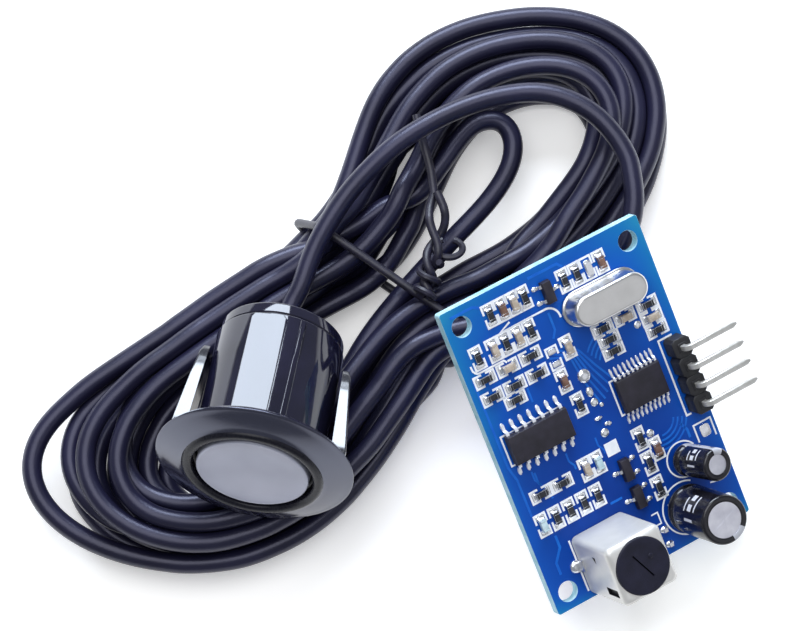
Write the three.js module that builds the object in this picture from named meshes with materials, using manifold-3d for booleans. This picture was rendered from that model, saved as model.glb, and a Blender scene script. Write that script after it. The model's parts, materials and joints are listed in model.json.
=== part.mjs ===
// Waterproof ultrasonic distance sensor, as it lies packed: a driver board, a flush-mount probe
// and the probe's 2.5 m cable wound in a tied hank. Millimetres, +Z up, resting on z = 0.
// The board leans on the hank with its underside connector on the table, and the probe lies on
// the hank with its face tilted up. The origin is the centre of the base of the box around the
// board and the probe.
import * as THREE from 'three';
import { mergeVertices } from 'three/addons/utils/BufferGeometryUtils.js';
import Module from 'manifold-3d';

// ---- driving dimensions ----

const BOARD = { width: 28.5, height: 41, thickness: 1.4, holeRadius: 1.3, holeInset: 2.25 };
const BOARD_CENTRE = [24.06, -11.82, 14.406];
const BOARD_TURN = { aboutX: 25.3, aboutY: 13.2, aboutZ: 29.7 };

const PROBE = {
  flangeRadius: 12.1, flangeThickness: 1.4, barrelRadius: 7.9, boreRadius: 7.1, length: 19.3,
  mouthRadius: 7.4, beadRadius: 8.9, beadHeight: 0.95, chamfer: 0.8, capSeatRadius: 6.6,
};
const PROBE_FACE_CENTRE = [-17.6, -19.4, 21.5];
const PROBE_TILT = 23.8;
const PROBE_HEADING = -10.6;

const CABLE_RADIUS = 1.25;
const WIRE_RADIUS = 0.5;
const TIE_THICKNESS = 1.2;
const HANK_LOBE_HEIGHT = 8.4;
const HANK_TOP_HEIGHT = 11.2;
const GAP = 0.3;
const SLIM_GAP = 0.1;
const ROUND = 36;
const SMALL_ROUND = 20;

// The layout below is worked out round a convenient point on the table, then moved so that the
// origin is the centre of the base of the box around the board and the probe.
const ORIGIN_IN_LAYOUT = [7.347, -11.632];

// ---- materials ----

const finish = (color, roughness, metalness = 0) => new THREE.MeshStandardMaterial({ color,
  roughness, metalness });

const MATERIALS = {
  solderMask: () => finish(0x0a4fb4, 0.35),
  housing: () => finish(0x0b0b12, 0.12),
  face: () => finish(0x7d828e, 0.45, 0.6),
  aluminium: () => finish(0xb9bcc2, 0.35, 0.9),
  rubber: () => finish(0x17171c, 0.8),
  ceramic: () => finish(0xd9cfb4, 0.6),
  felt: () => finish(0x8b6f47, 0.95),
  silicone: () => finish(0xd7d9d6, 0.5),
  cable: () => finish(0x1c1a2a, 0.45),
  header: () => finish(0x101014, 0.55),
  steel: () => finish(0xc8cbd0, 0.25, 0.9),
  chip: () => finish(0x1b1a22, 0.5),
  sleeve: () => finish(0x0d0d12, 0.25),
  ferrite: () => finish(0x24232d, 0.55),
  copper: () => finish(0xb56a3a, 0.3, 0.9),
  nylon: () => finish(0xe9e6da, 0.5),
  redWire: () => finish(0xb3261e, 0.45),
  whiteWire: () => finish(0xe4e2dc, 0.45),
  chipCapacitor: () => finish(0xb69a78, 0.5),
};

// ---- solid helpers ----

const wasm = await Module();
wasm.setup();

function toSolid(geometry) {
  const bare = geometry.clone();
  bare.deleteAttribute('normal');
  bare.deleteAttribute('uv');
  const merged = mergeVertices(bare);
  return new wasm.Manifold(new wasm.Mesh({
    numProp: 3,
    vertProperties: new Float32Array(merged.attributes.position.array),
    triVerts: new Uint32Array(merged.index.array),
  }));
}

function toGeometry(solid) {
  const mesh = solid.getMesh();
  const geometry = new THREE.BufferGeometry();
  geometry.setAttribute('position', new THREE.BufferAttribute(new Float32Array(mesh.vertProperties), 3));
  geometry.setIndex(new THREE.BufferAttribute(new Uint32Array(mesh.triVerts), 1));
  geometry.computeVertexNormals();
  return geometry;
}

function join(geometries) {
  return toGeometry(geometries.map(toSolid).reduce((whole, piece) => whole.add(piece)));
}

function cut(geometry, tools) {
  return toGeometry(tools.map(toSolid).reduce((whole, tool) => whole.subtract(tool), toSolid(geometry)));
}

// A box given by its low and high corners.
function block([x0, y0, z0], [x1, y1, z1]) {
  const box = new THREE.BoxGeometry(x1 - x0, y1 - y0, z1 - z0);
  return box.translate((x0 + x1) / 2, (y0 + y1) / 2, (z0 + z1) / 2);
}

// An upright cylinder from z0 to z1.
function post(x, y, z0, z1, radius, sides = SMALL_ROUND) {
  const cylinder = new THREE.CylinderGeometry(radius, radius, z1 - z0, sides).rotateX(Math.PI / 2);
  return cylinder.translate(x, y, (z0 + z1) / 2);
}

// A solid of revolution about Z from [radius, z] points. A profile off the axis closes on itself.
function turned(profile, sides = ROUND) {
  const points = profile.map(([r, z]) => new THREE.Vector2(r, z));
  const onAxis = profile[0][0] === 0;
  if (!onAxis) points.push(points[0].clone());
  if (THREE.ShapeUtils.area(points) < 0) points.reverse();
  return new THREE.LatheGeometry(points, sides).rotateX(Math.PI / 2);
}

function outline(points) {
  return new THREE.Shape(points.map(([x, y]) => new THREE.Vector2(x, y)));
}

// A closed smooth outline through a few points.
function smoothOutline(points, divisions) {
  const curve = new THREE.CatmullRomCurve3(points.map(([x, y]) => new THREE.Vector3(x, y, 0)), true);
  return curve.getPoints(divisions).slice(0, -1).map((p) => new THREE.Vector2(p.x, p.y));
}

function prism(shape, z0, z1, curveSegments = 6) {
  const solid = new THREE.ExtrudeGeometry(shape, { depth: z1 - z0, bevelEnabled: false, curveSegments });
  return solid.translate(0, 0, z0);
}

function roundedRectangle(width, height, radius) {
  const [x, y] = [width / 2, height / 2];
  const shape = new THREE.Shape();
  shape.absarc(x - radius, y - radius, radius, 0, Math.PI / 2);
  shape.absarc(-x + radius, y - radius, radius, Math.PI / 2, Math.PI);
  shape.absarc(-x + radius, -y + radius, radius, Math.PI, Math.PI * 1.5);
  shape.absarc(x - radius, -y + radius, radius, Math.PI * 1.5, Math.PI * 2);
  return shape;
}

// A tube of 8 sides along a smooth curve, with a ring about every "step".
function tube(points, radius, step) {
  const path = new THREE.CatmullRomCurve3(points.map((p) => new THREE.Vector3(...p)));
  const section = new THREE.Shape().absarc(0, 0, radius, 0, Math.PI * 2);
  const steps = Math.max(2, Math.round(path.getLength() / step));
  return new THREE.ExtrudeGeometry(
    section, { steps, extrudePath: path, curveSegments: 8, bevelEnabled: false },
  );
}

function part(name, geometry, material, position = [0, 0, 0]) {
  const mesh = new THREE.Mesh(geometry, material());
  mesh.name = name;
  mesh.position.set(...position);
  return mesh;
}

// ---- the probe: its own frame has +Z out of the sounding face, the flange's face at z = 0 ----

const probeGroup = new THREE.Group();
probeGroup.position.set(...PROBE_FACE_CENTRE);
probeGroup.rotation.set(
  THREE.MathUtils.degToRad(90 - PROBE_TILT), 0, THREE.MathUtils.degToRad(PROBE_HEADING), 'ZYX',
);

const WING = { rootZ: -14.6, tipZ: -2.0, halfWidth: 3.2, rootInner: 8.2, rootOuter: 9.2,
  tipInner: 8.85, tipOuter: 10.75 };
const WING_FOOT = { innerRadius: 7.4, z0: -14.6, z1: -13.2 };

function probeHousing() {
  const { flangeRadius: flange, flangeThickness: thick, barrelRadius: barrel, length } = PROBE;
  const body = turned([
    [PROBE.mouthRadius, 0.45], [7.75, 0.85], [8.15, PROBE.beadHeight], [8.6, 0.7], [PROBE.beadRadius, 0],
    [flange - 0.7, 0], [flange - 0.2, -0.2], [flange, -thick / 2], [flange - 0.2, -thick + 0.2],
    [flange - 0.7, -thick], [barrel, -thick], [barrel, -length + PROBE.chamfer],
    [barrel - PROBE.chamfer, -length], [PROBE.capSeatRadius, -length], [PROBE.capSeatRadius, -17.8],
    [6.1, -17.8], [6.1, -9.4], [PROBE.boreRadius, -9.4], [PROBE.boreRadius, -0.9],
    [PROBE.mouthRadius, -0.9],
  ], 48);
  const pocketDepth = WING_FOOT.innerRadius - GAP;
  const pockets = [-1, 1].map((side) => block(
    [Math.min(side * pocketDepth, side * 9), -WING.halfWidth - GAP, WING_FOOT.z0 - GAP],
    [Math.max(side * pocketDepth, side * 9), WING.halfWidth + GAP, WING_FOOT.z1 + GAP],
  ));
  return cut(body, pockets);
}

// A springy wing: a leaf that stands further off the barrel towards the flange, with a foot at its root.
function retainingWing(side) {
  const leaf = outline([
    [WING.rootInner, WING.rootZ], [WING.rootOuter, WING.rootZ], [WING.tipOuter, WING.tipZ - 1.2],
    [WING.tipOuter - 0.2, WING.tipZ], [WING.tipInner, WING.tipZ],
  ]);
  const foot = outline([
    [WING_FOOT.innerRadius, WING_FOOT.z0], [WING.rootInner + 0.4, WING_FOOT.z0],
    [WING.rootInner + 0.4, WING_FOOT.z1], [WING_FOOT.innerRadius, WING_FOOT.z1],
  ]);
  const blocks = [leaf, foot].map((shape) => (
    prism(shape, -WING.halfWidth, WING.halfWidth).rotateX(Math.PI / 2)
  ));
  const wing = join(blocks);
  return side > 0 ? wing : wing.rotateZ(Math.PI);
}

function probeParts() {
  const cup = [
    [0, 0.55], [6.7, 0.55], [6.9, 0.35], [6.9, -0.6], [6.4, -0.6], [6.4, -8.6], [5.8, -8.6],
    [5.8, -0.1], [0, -0.1],
  ];
  const ring = [[6.5, -8.9], [7.0, -8.9], [7.0, -0.75], [6.5, -0.75]];
  const cap = [[2.1, -18.0], [6.5, -18.0], [6.5, -19.0], [6.2, -19.3], [2.1, -19.3]];
  const gland = [[0, -17.2], [1.9, -17.2], [1.9, -19.6], [1.65, -20.9], [0, -20.9]];
  const leadPath = (side) => [[side * 2.2, 0, -9.2], [side * 2.4, 0.6, -11.5],
    [side * 1.2, 0.4, -14.2], [side * 0.8, 0, -16.8]];
  return [
    part('probe_housing', probeHousing(), MATERIALS.housing),
    part('transducer_cup', turned(cup), MATERIALS.face),
    part('isolation_ring', turned(ring), MATERIALS.rubber),
    part('piezo_disc', post(0, 0, -1.0, -0.2, 4.2, 24), MATERIALS.ceramic),
    part('damper_pad', post(0, 0, -4.2, -1.2, 5.2, 24), MATERIALS.felt),
    part('potting_plug', post(0, 0, -8.4, -4.4, 5.6, 24), MATERIALS.silicone),
    part('core_wire_signal', tube(leadPath(1), WIRE_RADIUS, 1.6), MATERIALS.redWire),
    part('core_wire_return', tube(leadPath(-1), WIRE_RADIUS, 1.6), MATERIALS.whiteWire),
    part('rear_cap', turned(cap), MATERIALS.housing),
    part('cable_gland', turned(gland, SMALL_ROUND), MATERIALS.rubber),
    part('retaining_wing_left', retainingWing(-1), MATERIALS.housing),
    part('retaining_wing_right', retainingWing(1), MATERIALS.housing),
  ];
}

// ---- the board: its own frame has its origin in the middle of the component side, +Z out of it ----

const boardGroup = new THREE.Group();
boardGroup.position.set(...BOARD_CENTRE);
boardGroup.rotation.set(
  THREE.MathUtils.degToRad(BOARD_TURN.aboutX), THREE.MathUtils.degToRad(BOARD_TURN.aboutY),
  THREE.MathUtils.degToRad(BOARD_TURN.aboutZ), 'ZYX',
);

// Places on the board are measured from its top left corner, right and down.
const spot = (right, down) => [right - BOARD.width / 2, BOARD.height / 2 - down];
const UNDERSIDE = -BOARD.thickness;

const HEADER = { right: 26.95, middle: 20.9, pitch: 2.54, count: 4, size: 2.54, pin: 0.64,
  riseHeight: 3.7, reach: 34.2, drillRadius: 0.65 };
const SOCKET = { x0: 11.2, x1: 18.4, middle: 38.7, halfWidth: 2.3, depth: 4.2, pitch: 2.0,
  pinRight: 16.9, drillRadius: 0.55 };
const headerRows = Array.from(
  { length: HEADER.count },
  (_, i) => HEADER.middle + (i - (HEADER.count - 1) / 2) * HEADER.pitch,
);
const socketRows = [-1, 1].map((side) => SOCKET.middle + (side * SOCKET.pitch) / 2);

function circuitBoard() {
  const shape = roundedRectangle(BOARD.width, BOARD.height, 0.3);
  const drill = (right, down, radius) => {
    const [x, y] = spot(right, down);
    shape.holes.push(new THREE.Path().absarc(x, y, radius, 0, Math.PI * 2, true));
  };
  for (const right of [BOARD.holeInset, BOARD.width - BOARD.holeInset]) {
    drill(right, BOARD.holeInset + 0.3, BOARD.holeRadius);
    drill(right, BOARD.height - BOARD.holeInset, BOARD.holeRadius);
  }
  for (const down of headerRows) drill(HEADER.right, down, HEADER.drillRadius);
  for (const down of socketRows) drill(SOCKET.pinRight, down, SOCKET.drillRadius);
  return prism(shape, UNDERSIDE, 0, 8);
}

function headerBody() {
  const [x, yMiddle] = spot(HEADER.right, HEADER.middle);
  const [half, nick] = [HEADER.size / 2, 0.45];
  const segments = headerRows.map((down) => {
    const y = spot(0, down)[1];
    const ring = outline([
      [x - half, y - half + nick], [x - half + nick, y - half],
      [x + half - nick, y - half], [x + half, y - half + nick],
      [x + half, y + half - nick], [x + half - nick, y + half],
      [x - half + nick, y + half], [x - half, y + half - nick],
    ]);
    return prism(ring, SLIM_GAP, HEADER.size);
  });
  const spineHalf = (HEADER.count * HEADER.pitch) / 2 - nick;
  const spine = block([x - half + nick, yMiddle - spineHalf, SLIM_GAP],
    [x + half - nick, yMiddle + spineHalf, HEADER.size]);
  const clear = HEADER.pin / 2 + SLIM_GAP;
  const wells = headerRows.map((down) => {
    const y = spot(0, down)[1];
    return block([x - clear, y - clear, -1], [x + clear, y + clear, HEADER.size + 1]);
  });
  return cut(join([spine, ...segments]), wells);
}

// A square pin that rises through the header, bends and runs out past the board's edge.
function headerPin(down) {
  const [x, y] = spot(HEADER.right, down);
  const [half, bend, point] = [HEADER.pin / 2, 0.9, 0.5];
  const [bottom, top, end] = [UNDERSIDE - 1.3, HEADER.riseHeight, spot(HEADER.reach, 0)[0]];
  const side = new THREE.Shape();
  side.moveTo(x - half, bottom);
  side.lineTo(x + half, bottom);
  side.lineTo(x + half, top - bend);
  side.absarc(x + bend, top - bend, bend - half, Math.PI, Math.PI / 2, true);
  side.lineTo(end - point, top - half);
  side.lineTo(end, top - half / 2);
  side.lineTo(end, top + half / 2);
  side.lineTo(end - point, top + half);
  side.lineTo(x + bend, top + half);
  side.absarc(x + bend, top - bend, bend + half, Math.PI / 2, Math.PI);
  return prism(side, -half, half, 4).rotateX(Math.PI / 2).translate(0, y, 0);
}

// A moulded chip with gull-wing leads on its two long sides.
function moulded(right, down, { length, width, height, leads, pitch, span, leadWidth }) {
  const [x, y] = spot(right, down);
  const bodyBase = 0.25;
  const body = block([x - length / 2, y - width / 2, bodyBase],
    [x + length / 2, y + width / 2, bodyBase + height]);
  const feet = [];
  for (const side of [-1, 1]) {
    for (let i = 0; i < leads; i += 1) {
      const at = x + (i - (leads - 1) / 2) * pitch;
      const [inner, outer] = [side * (width / 2 - 0.3), side * (span / 2)];
      feet.push(block(
        [at - leadWidth / 2, Math.min(inner, outer) + y, bodyBase + 0.1],
        [at + leadWidth / 2, Math.max(inner, outer) + y, bodyBase + 0.45],
      ));
      const toe = [side * (span / 2 - 0.6), outer];
      feet.push(block(
        [at - leadWidth / 2, Math.min(...toe) + y, SLIM_GAP],
        [at + leadWidth / 2, Math.max(...toe) + y, bodyBase + 0.3],
      ));
    }
  }
  return join([body, ...feet]);
}

// A small transistor standing along the board, with one lead on one side and two on the other.
function transistor(right, down, singleSide) {
  const [x, y] = spot(right, down);
  const body = block([x - 0.7, y - 1.45, 0.2], [x + 0.7, y + 1.45, 1.2]);
  const lead = (side, dy) => block(
    [Math.min(side * 0.5, side * 1.25) + x, y + dy - 0.25, SLIM_GAP],
    [Math.max(side * 0.5, side * 1.25) + x, y + dy + 0.25, 0.4],
  );
  return join([body, lead(singleSide, 0), lead(-singleSide, -0.95), lead(-singleSide, 0.95)]);
}

function racetrack(right, down, length, width, z0, z1) {
  const [x, y] = spot(right, down);
  return prism(roundedRectangle(length, width, width / 2 - 0.001), z0, z1, 8).translate(x, y, 0);
}

// An electrolytic capacitor: a sleeved can on a rubber bung, in a group that can lean.
function electrolytic(name, right, down, radius, height, lean) {
  const group = new THREE.Group();
  const [x, y] = spot(right, down);
  group.position.set(x, y, 0);
  group.rotation.y = THREE.MathUtils.degToRad(lean);
  const base = GAP + 0.1 + radius * Math.sin(Math.abs(group.rotation.y));
  const can = [
    [0, base + 0.9], [radius - 0.35, base + 0.9], [radius, base + 1.2], [radius, base + 1.7],
    [radius - 0.25, base + 2.0], [radius, base + 2.3], [radius, height - 0.5],
    [radius - 0.4, height], [0, height],
  ];
  group.add(part(`${name}_capacitor_can`, turned(can, 28), MATERIALS.sleeve));
  group.add(part(`${name}_capacitor_bung`, post(0, 0, base, base + 0.8, radius - 0.4, 24),
    MATERIALS.rubber));
  return group;
}

const CAN = { right: 8.85, down: 36.7, size: 7.8, height: 9.8, wall: 0.45, coreRadius: 3.6,
  stemRadius: 3.1, coreDepth: 2.6 };

function transformerParts() {
  const [x, y] = spot(CAN.right, CAN.down);
  const inner = CAN.size - CAN.wall * 2;
  const shell = new THREE.ExtrudeGeometry(roundedRectangle(CAN.size - 0.8, CAN.size - 0.8, 0.6), {
    depth: CAN.height - 0.5 - SLIM_GAP, bevelThickness: 0.4, bevelSize: 0.4, bevelSegments: 2,
    curveSegments: 4,
  }).translate(x, y, SLIM_GAP + 0.4 - 0.3);
  const hollow = block([x - inner / 2, y - inner / 2, -1],
    [x + inner / 2, y + inner / 2, CAN.height - 0.7]);
  const belowBoard = block([x - 9, y - 9, -2], [x + 9, y + 9, SLIM_GAP]);
  const mouth = post(x, y, CAN.height - 0.8, CAN.height + 2, CAN.coreRadius + SLIM_GAP, ROUND);
  const stem = post(x, y, CAN.height - CAN.coreDepth, CAN.height - 0.5, CAN.stemRadius, ROUND);
  const cap = post(x, y, CAN.height - 0.65, CAN.height - 0.1, CAN.coreRadius, ROUND);
  const slot = block([x - 2.0, y - 0.22, CAN.height - 0.6], [x + 2.0, y + 0.22, CAN.height + 1]);
  const core = cut(join([stem, cap]), [slot]);
  const bobbin = turned([
    [1.1, 1.6], [3.2, 1.6], [3.2, 2.2], [1.9, 2.2], [1.9, 6.0], [3.2, 6.0], [3.2, 6.6], [1.1, 6.6],
  ], 24).translate(x, y, 0);
  const winding = turned([[2.0, 2.35], [3.1, 2.35], [3.1, 5.85], [2.0, 5.85]], 24).translate(x, y, 0);
  return [
    part('transformer_can', cut(shell, [hollow, belowBoard, mouth]), MATERIALS.steel),
    part('transformer_base', block([x - 3.2, y - 3.2, SLIM_GAP], [x + 3.2, y + 3.2, 1.4]),
      MATERIALS.header),
    part('transformer_bobbin', bobbin, MATERIALS.nylon),
    part('transformer_winding', winding, MATERIALS.copper),
    part('tuning_core', core, MATERIALS.ferrite),
  ];
}

// The cable's socket under the board: a low side-entry housing, open towards the board's left edge.
function socketParts() {
  const y = spot(0, SOCKET.middle)[1];
  const [x0, x1] = [spot(SOCKET.x0, 0)[0], spot(SOCKET.x1, 0)[0]];
  const [top, bottom] = [UNDERSIDE - SLIM_GAP, UNDERSIDE - SOCKET.depth];
  const pinX = spot(SOCKET.pinRight, 0)[0];
  const level = (top + bottom) / 2;
  const wall = 0.5;
  const wells = socketRows.map((down) => {
    const row = spot(0, down)[1];
    return block([pinX - 0.4, row - 0.4, level - 0.4], [pinX + 0.4, row + 0.4, top + 1]);
  });
  const tunnels = socketRows.map((down) => {
    const row = spot(0, down)[1];
    return block([x0 + 3, row - 0.4, level - 0.4], [pinX + 0.4, row + 0.4, level + 0.4]);
  });
  const hollow = block([x0 - 1, y - SOCKET.halfWidth + wall, bottom + wall],
    [x1 - 2.8, y + SOCKET.halfWidth - wall, top - wall]);
  const housing = cut(block([x0, y - SOCKET.halfWidth, bottom], [x1, y + SOCKET.halfWidth, top]),
    [hollow, ...wells, ...tunnels]);
  const pins = socketRows.map((down, i) => {
    const row = spot(0, down)[1];
    const rise = block([pinX - 0.25, row - 0.25, level - 0.25], [pinX + 0.25, row + 0.25, 0.7]);
    const prong = block([x0 + 1.4, row - 0.25, level - 0.25], [pinX + 0.25, row + 0.25, level + 0.25]);
    return part(`socket_pin_${i + 1}`, join([rise, prong]), MATERIALS.steel);
  });
  const clear = wall + 0.12;
  const plugBody = block(
    [x0 - 1.8, y - SOCKET.halfWidth + clear, bottom + clear],
    [x1 - 2.95, y + SOCKET.halfWidth - clear, top - clear],
  );
  const slots = socketRows.map((down) => {
    const row = spot(0, down)[1];
    return block([x0 + 0.9, row - 0.45, level - 0.45], [x1, row + 0.45, level + 0.45]);
  });
  return [
    part('probe_socket', housing, MATERIALS.nylon),
    ...pins,
    part('cable_plug', cut(plugBody, slots), MATERIALS.nylon),
  ];
}

// Chip resistors and capacitors in three neat rows, all standing along the board.
const CHIP_ROWS = {
  top_left: { down: 2.9, rights: [6.1, 7.8, 9.45, 11.0] },
  top_right: { down: 3.3, rights: [16.6, 18.4, 20.1, 21.9] },
  lower_left: { down: 29.6, rights: [2.4, 4.4, 6.4, 8.4, 10.4] },
};

function chipParts() {
  return Object.entries(CHIP_ROWS).flatMap(([row, { down, rights }]) => rights.map((right, i) => {
    const [x, y] = spot(right, down);
    const chip = block([x - 0.4, y - 0.8, SLIM_GAP], [x + 0.4, y + 0.8, 0.55]);
    return part(`chip_${row}_${i + 1}`, chip, MATERIALS.chipCapacitor);
  }));
}

function boardParts() {
  return [
    part('circuit_board', circuitBoard(), MATERIALS.solderMask),
    part('header_body', headerBody(), MATERIALS.header),
    ...headerRows.map((down, i) => part(`header_pin_${i + 1}`, headerPin(down), MATERIALS.steel)),
    part('crystal_base', racetrack(20.2, 7.2, 10.9, 4.5, SLIM_GAP, 0.5), MATERIALS.steel),
    part('crystal_can', racetrack(20.2, 7.2, 10.3, 3.9, 0.6, 3.6), MATERIALS.steel),
    part('amplifier_ic', moulded(6.06, 19.1, {
      length: 8.65, width: 3.9, height: 1.35, leads: 7, pitch: 1.27, span: 6.1, leadWidth: 0.42,
    }), MATERIALS.chip),
    part('controller_ic', moulded(20.77, 19.7, {
      length: 6.5, width: 4.4, height: 0.95, leads: 10, pitch: 0.65, span: 6.4, leadWidth: 0.25,
    }), MATERIALS.chip),
    part('transistor_1', transistor(13.98, 3.5, 1), MATERIALS.chip),
    part('transistor_2', transistor(15.0, 28.3, -1), MATERIALS.chip),
    part('transistor_3', transistor(15.2, 32.2, -1), MATERIALS.chip),
    electrolytic('large', 20.85, 36.6, 3.1, 10.0, 0),
    electrolytic('small', 22.7, 30.8, 2.05, 7.6, 7),
    ...transformerParts(),
    ...socketParts(),
    ...chipParts(),
  ];
}

// ---- the cable: where it runs on the table, in the layout's own millimetres ----

probeGroup.updateMatrix();
boardGroup.updateMatrix();
const fromProbe = (point) => new THREE.Vector3(...point).applyMatrix4(probeGroup.matrix).toArray();
const fromBoard = (point) => new THREE.Vector3(...point).applyMatrix4(boardGroup.matrix).toArray();

// Out of the gland, up over the hank, round its upper end and in under the board.
const LEAD_POINTS = [
  fromProbe([0, 0, -21.2]), fromProbe([0, 0, -23.6]),
  [-12.2, 4.6, 12.3], [-10.8, 8.6, 12.5], [-8.6, 12.8, 13.0], [-5.4, 17.3, 13.4],
  [-0.3, 22.2, 14.0], [6.0, 26.0, 14.0], [12.4, 28.3, 13.6], [18.2, 28.7, 13.4],
  [23.4, 26.6, 13.4], [27.0, 22.7, 13.6], [28.9, 18.0, 13.9], [29.2, 13.0, 14.3],
  [27.4, 8.2, 14.5], [24.4, 4.6, 13.9], [20.9, 3.2, 13.0],
];

// Out of the hank's side under the board and along the table to where its sheath ends.
const TAIL_POINTS = [
  [15.6, -2.6, 4.0], [16.2, -5.4, 3.2], [16.8, -9.0, 1.7], [17.4, -13.0, 1.35], [18.2, -17.0, 1.35],
  [19.4, -20.6, 2.0],
];

// The two inner wires, from the end of the sheath round to the plug.
function plugWirePoints(side) {
  const row = spot(0, SOCKET.middle)[1] + side * 0.8;
  const backX = spot(SOCKET.x0, 0)[0] - 1.8;
  const level = UNDERSIDE - (SOCKET.depth + SLIM_GAP) / 2;
  return [
    [19.75 + side * 0.6, -21.2, 2.1], [20.3 + side * 0.9, -23.6, 2.9], [20.4 + side * 1.3, -26.0, 4.2],
    fromBoard([backX - 2.2, row, level]), fromBoard([backX - GAP, row, level]),
  ];
}

const HANK_OUTLINE = [
  [21.5, 41.5], [12.5, 40.8], [5, 38], [0, 34], [-3.8, 27.5], [-7.6, 19.7], [-12, 15.5], [-25, 7],
  [-40.5, -5], [-46.3, -14.5], [-44, -24.5], [-33.5, -31], [-21, -31], [-13.5, -27.8], [-6, -21.5],
  [1.2, -12.1], [6.9, -3.2], [14, -1.6], [22, 1.6], [27.6, 8.6], [31, 15], [33, 21], [33.5, 28.6],
  [31.7, 35.1], [27.8, 39.6],
];
const HANK_UPPER_OUTLINE = [
  [21.5, 41.0], [12.5, 40.3], [5, 37.5], [0, 33.5], [-3.4, 27.5], [-6.6, 19.9], [-6.2, 15],
  [0.5, 9.5], [8.5, 3.2], [14, -0.9], [22, 2], [27.2, 8.8], [30.6, 15.2], [32.6, 21], [33, 28.6],
  [31.2, 34.8], [27.4, 39.2],
];
const UPPER_WINDOW = [
  [8.5, 12], [15, 14], [20.5, 19.5], [22, 26], [19.5, 31], [15, 30.5], [12, 26], [8.5, 19],
];
const LOWER_WINDOW = [
  [-1.5, 5.5], [-4, 2], [-8, -3.5], [-12, -10.5], [-17, -17], [-22, -22], [-28, -22.3],
  [-30.8, -19.3], [-29, -13], [-24, -7], [-17, -1], [-9, 4.2],
];

// The tie crosses the hank's waist between these two places.
const TIE = { from: [-13.6, 14.9], to: [8.3, -0.1], top: 10.1, base: 0.1 };

function tieFrame() {
  const [dx, dy] = [TIE.to[0] - TIE.from[0], TIE.to[1] - TIE.from[1]];
  const frame = new THREE.Matrix4().makeRotationZ(Math.atan2(dy, dx));
  frame.setPosition((TIE.from[0] + TIE.to[0]) / 2, (TIE.from[1] + TIE.to[1]) / 2, 0);
  return { frame, span: Math.hypot(dx, dy) };
}

// The band round the waist and the twisted ends that lie along the hank's upper half.
function twistTie() {
  const { frame, span } = tieFrame();
  const height = TIE.top - TIE.base;
  const band = roundedRectangle(span, height, 2.4);
  band.holes.push(roundedRectangle(span - TIE_THICKNESS * 2, height - TIE_THICKNESS * 2, 0.8));
  const loop = prism(band, -TIE_THICKNESS / 2, TIE_THICKNESS / 2).rotateX(Math.PI / 2);
  loop.translate(0, 0, TIE.base + height / 2).applyMatrix4(frame);
  const ends = tube([[3.0, 3.5, 9.8], [4.2, 5.8, 12.0], [4.6, 11, 12.2], [4.3, 16, 12.1],
    [2.6, 27.2, 12.1]], 0.55, 3);
  return join([loop, ends]);
}

// Room under the waist for the band, and round the probe where it lies on the turns.
function hankRelief() {
  const { frame, span } = tieFrame();
  const wide = TIE_THICKNESS / 2 + GAP;
  const underBand = block([-span, -wide, -1], [span, wide, TIE.base + TIE_THICKNESS + GAP]);
  underBand.applyMatrix4(frame);
  const beside = [-1, 1].map((side) => {
    const edge = span / 2 - TIE_THICKNESS - GAP;
    return block([Math.min(side * edge, side * span), -wide, -1],
      [Math.max(side * edge, side * span), wide, 20]).applyMatrix4(frame);
  });
  const probe = turned([
    [0, 3], [PROBE.flangeRadius + 0.4, 3], [PROBE.flangeRadius + 0.4, -2], [WING.tipOuter + 0.3, -2.2],
    [WING.rootOuter + 0.3, -15], [PROBE.barrelRadius + 0.4, -15.5],
    [PROBE.barrelRadius + 0.4, -19.8], [2.3, -20.2], [2.3, -26], [0, -26],
  ]).applyMatrix4(probeGroup.matrix);
  return [underBand, ...beside, probe];
}

function cableHank() {
  const whole = new THREE.Shape(smoothOutline(HANK_OUTLINE, 75));
  const upper = new THREE.Shape(smoothOutline(HANK_UPPER_OUTLINE, 51));
  const windows = [UPPER_WINDOW, LOWER_WINDOW].map((points) => (
    new THREE.Shape(smoothOutline(points, 30))
  ));
  const body = join([prism(whole, 0, HANK_LOBE_HEIGHT), prism(upper, 1, HANK_TOP_HEIGHT)]);
  return cut(body, [...windows.map((shape) => prism(shape, -1, 20)), ...hankRelief()]);
}

function cableParts() {
  return [
    part('cable_lead', tube(LEAD_POINTS, CABLE_RADIUS, 5), MATERIALS.cable),
    part('cable_hank', cableHank(), MATERIALS.cable),
    part('cable_tail', tube(TAIL_POINTS, CABLE_RADIUS, 5), MATERIALS.cable),
    part('twist_tie', twistTie(), MATERIALS.rubber),
    part('plug_wire_signal', tube(plugWirePoints(-1), WIRE_RADIUS, 1.6), MATERIALS.redWire),
    part('plug_wire_return', tube(plugWirePoints(1), WIRE_RADIUS, 1.6), MATERIALS.whiteWire),
  ];
}

// ---- the whole sensor ----

probeGroup.add(...probeParts());
boardGroup.add(...boardParts());
const sensor = new THREE.Group();
sensor.position.set(-ORIGIN_IN_LAYOUT[0], -ORIGIN_IN_LAYOUT[1], 0);
sensor.add(probeGroup, boardGroup, ...cableParts());

export default sensor;
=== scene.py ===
"""The looks of a waterproof ultrasonic distance sensor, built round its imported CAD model.

The driver board leans on a tied hank of cable, and the flush-mount probe lies on the hank.
Blender works in metres. Sizes here are in millimetres, in three frames: the table's layout, the
board's own frame (x right and y up across the component side, z out of it) and the probe's own
frame (z out of the sounding face). Each piece's object carries its frame as its matrix.
"""
import json
import math

import bmesh
import bpy
import numpy as np
from mathutils import Matrix, Vector


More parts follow.
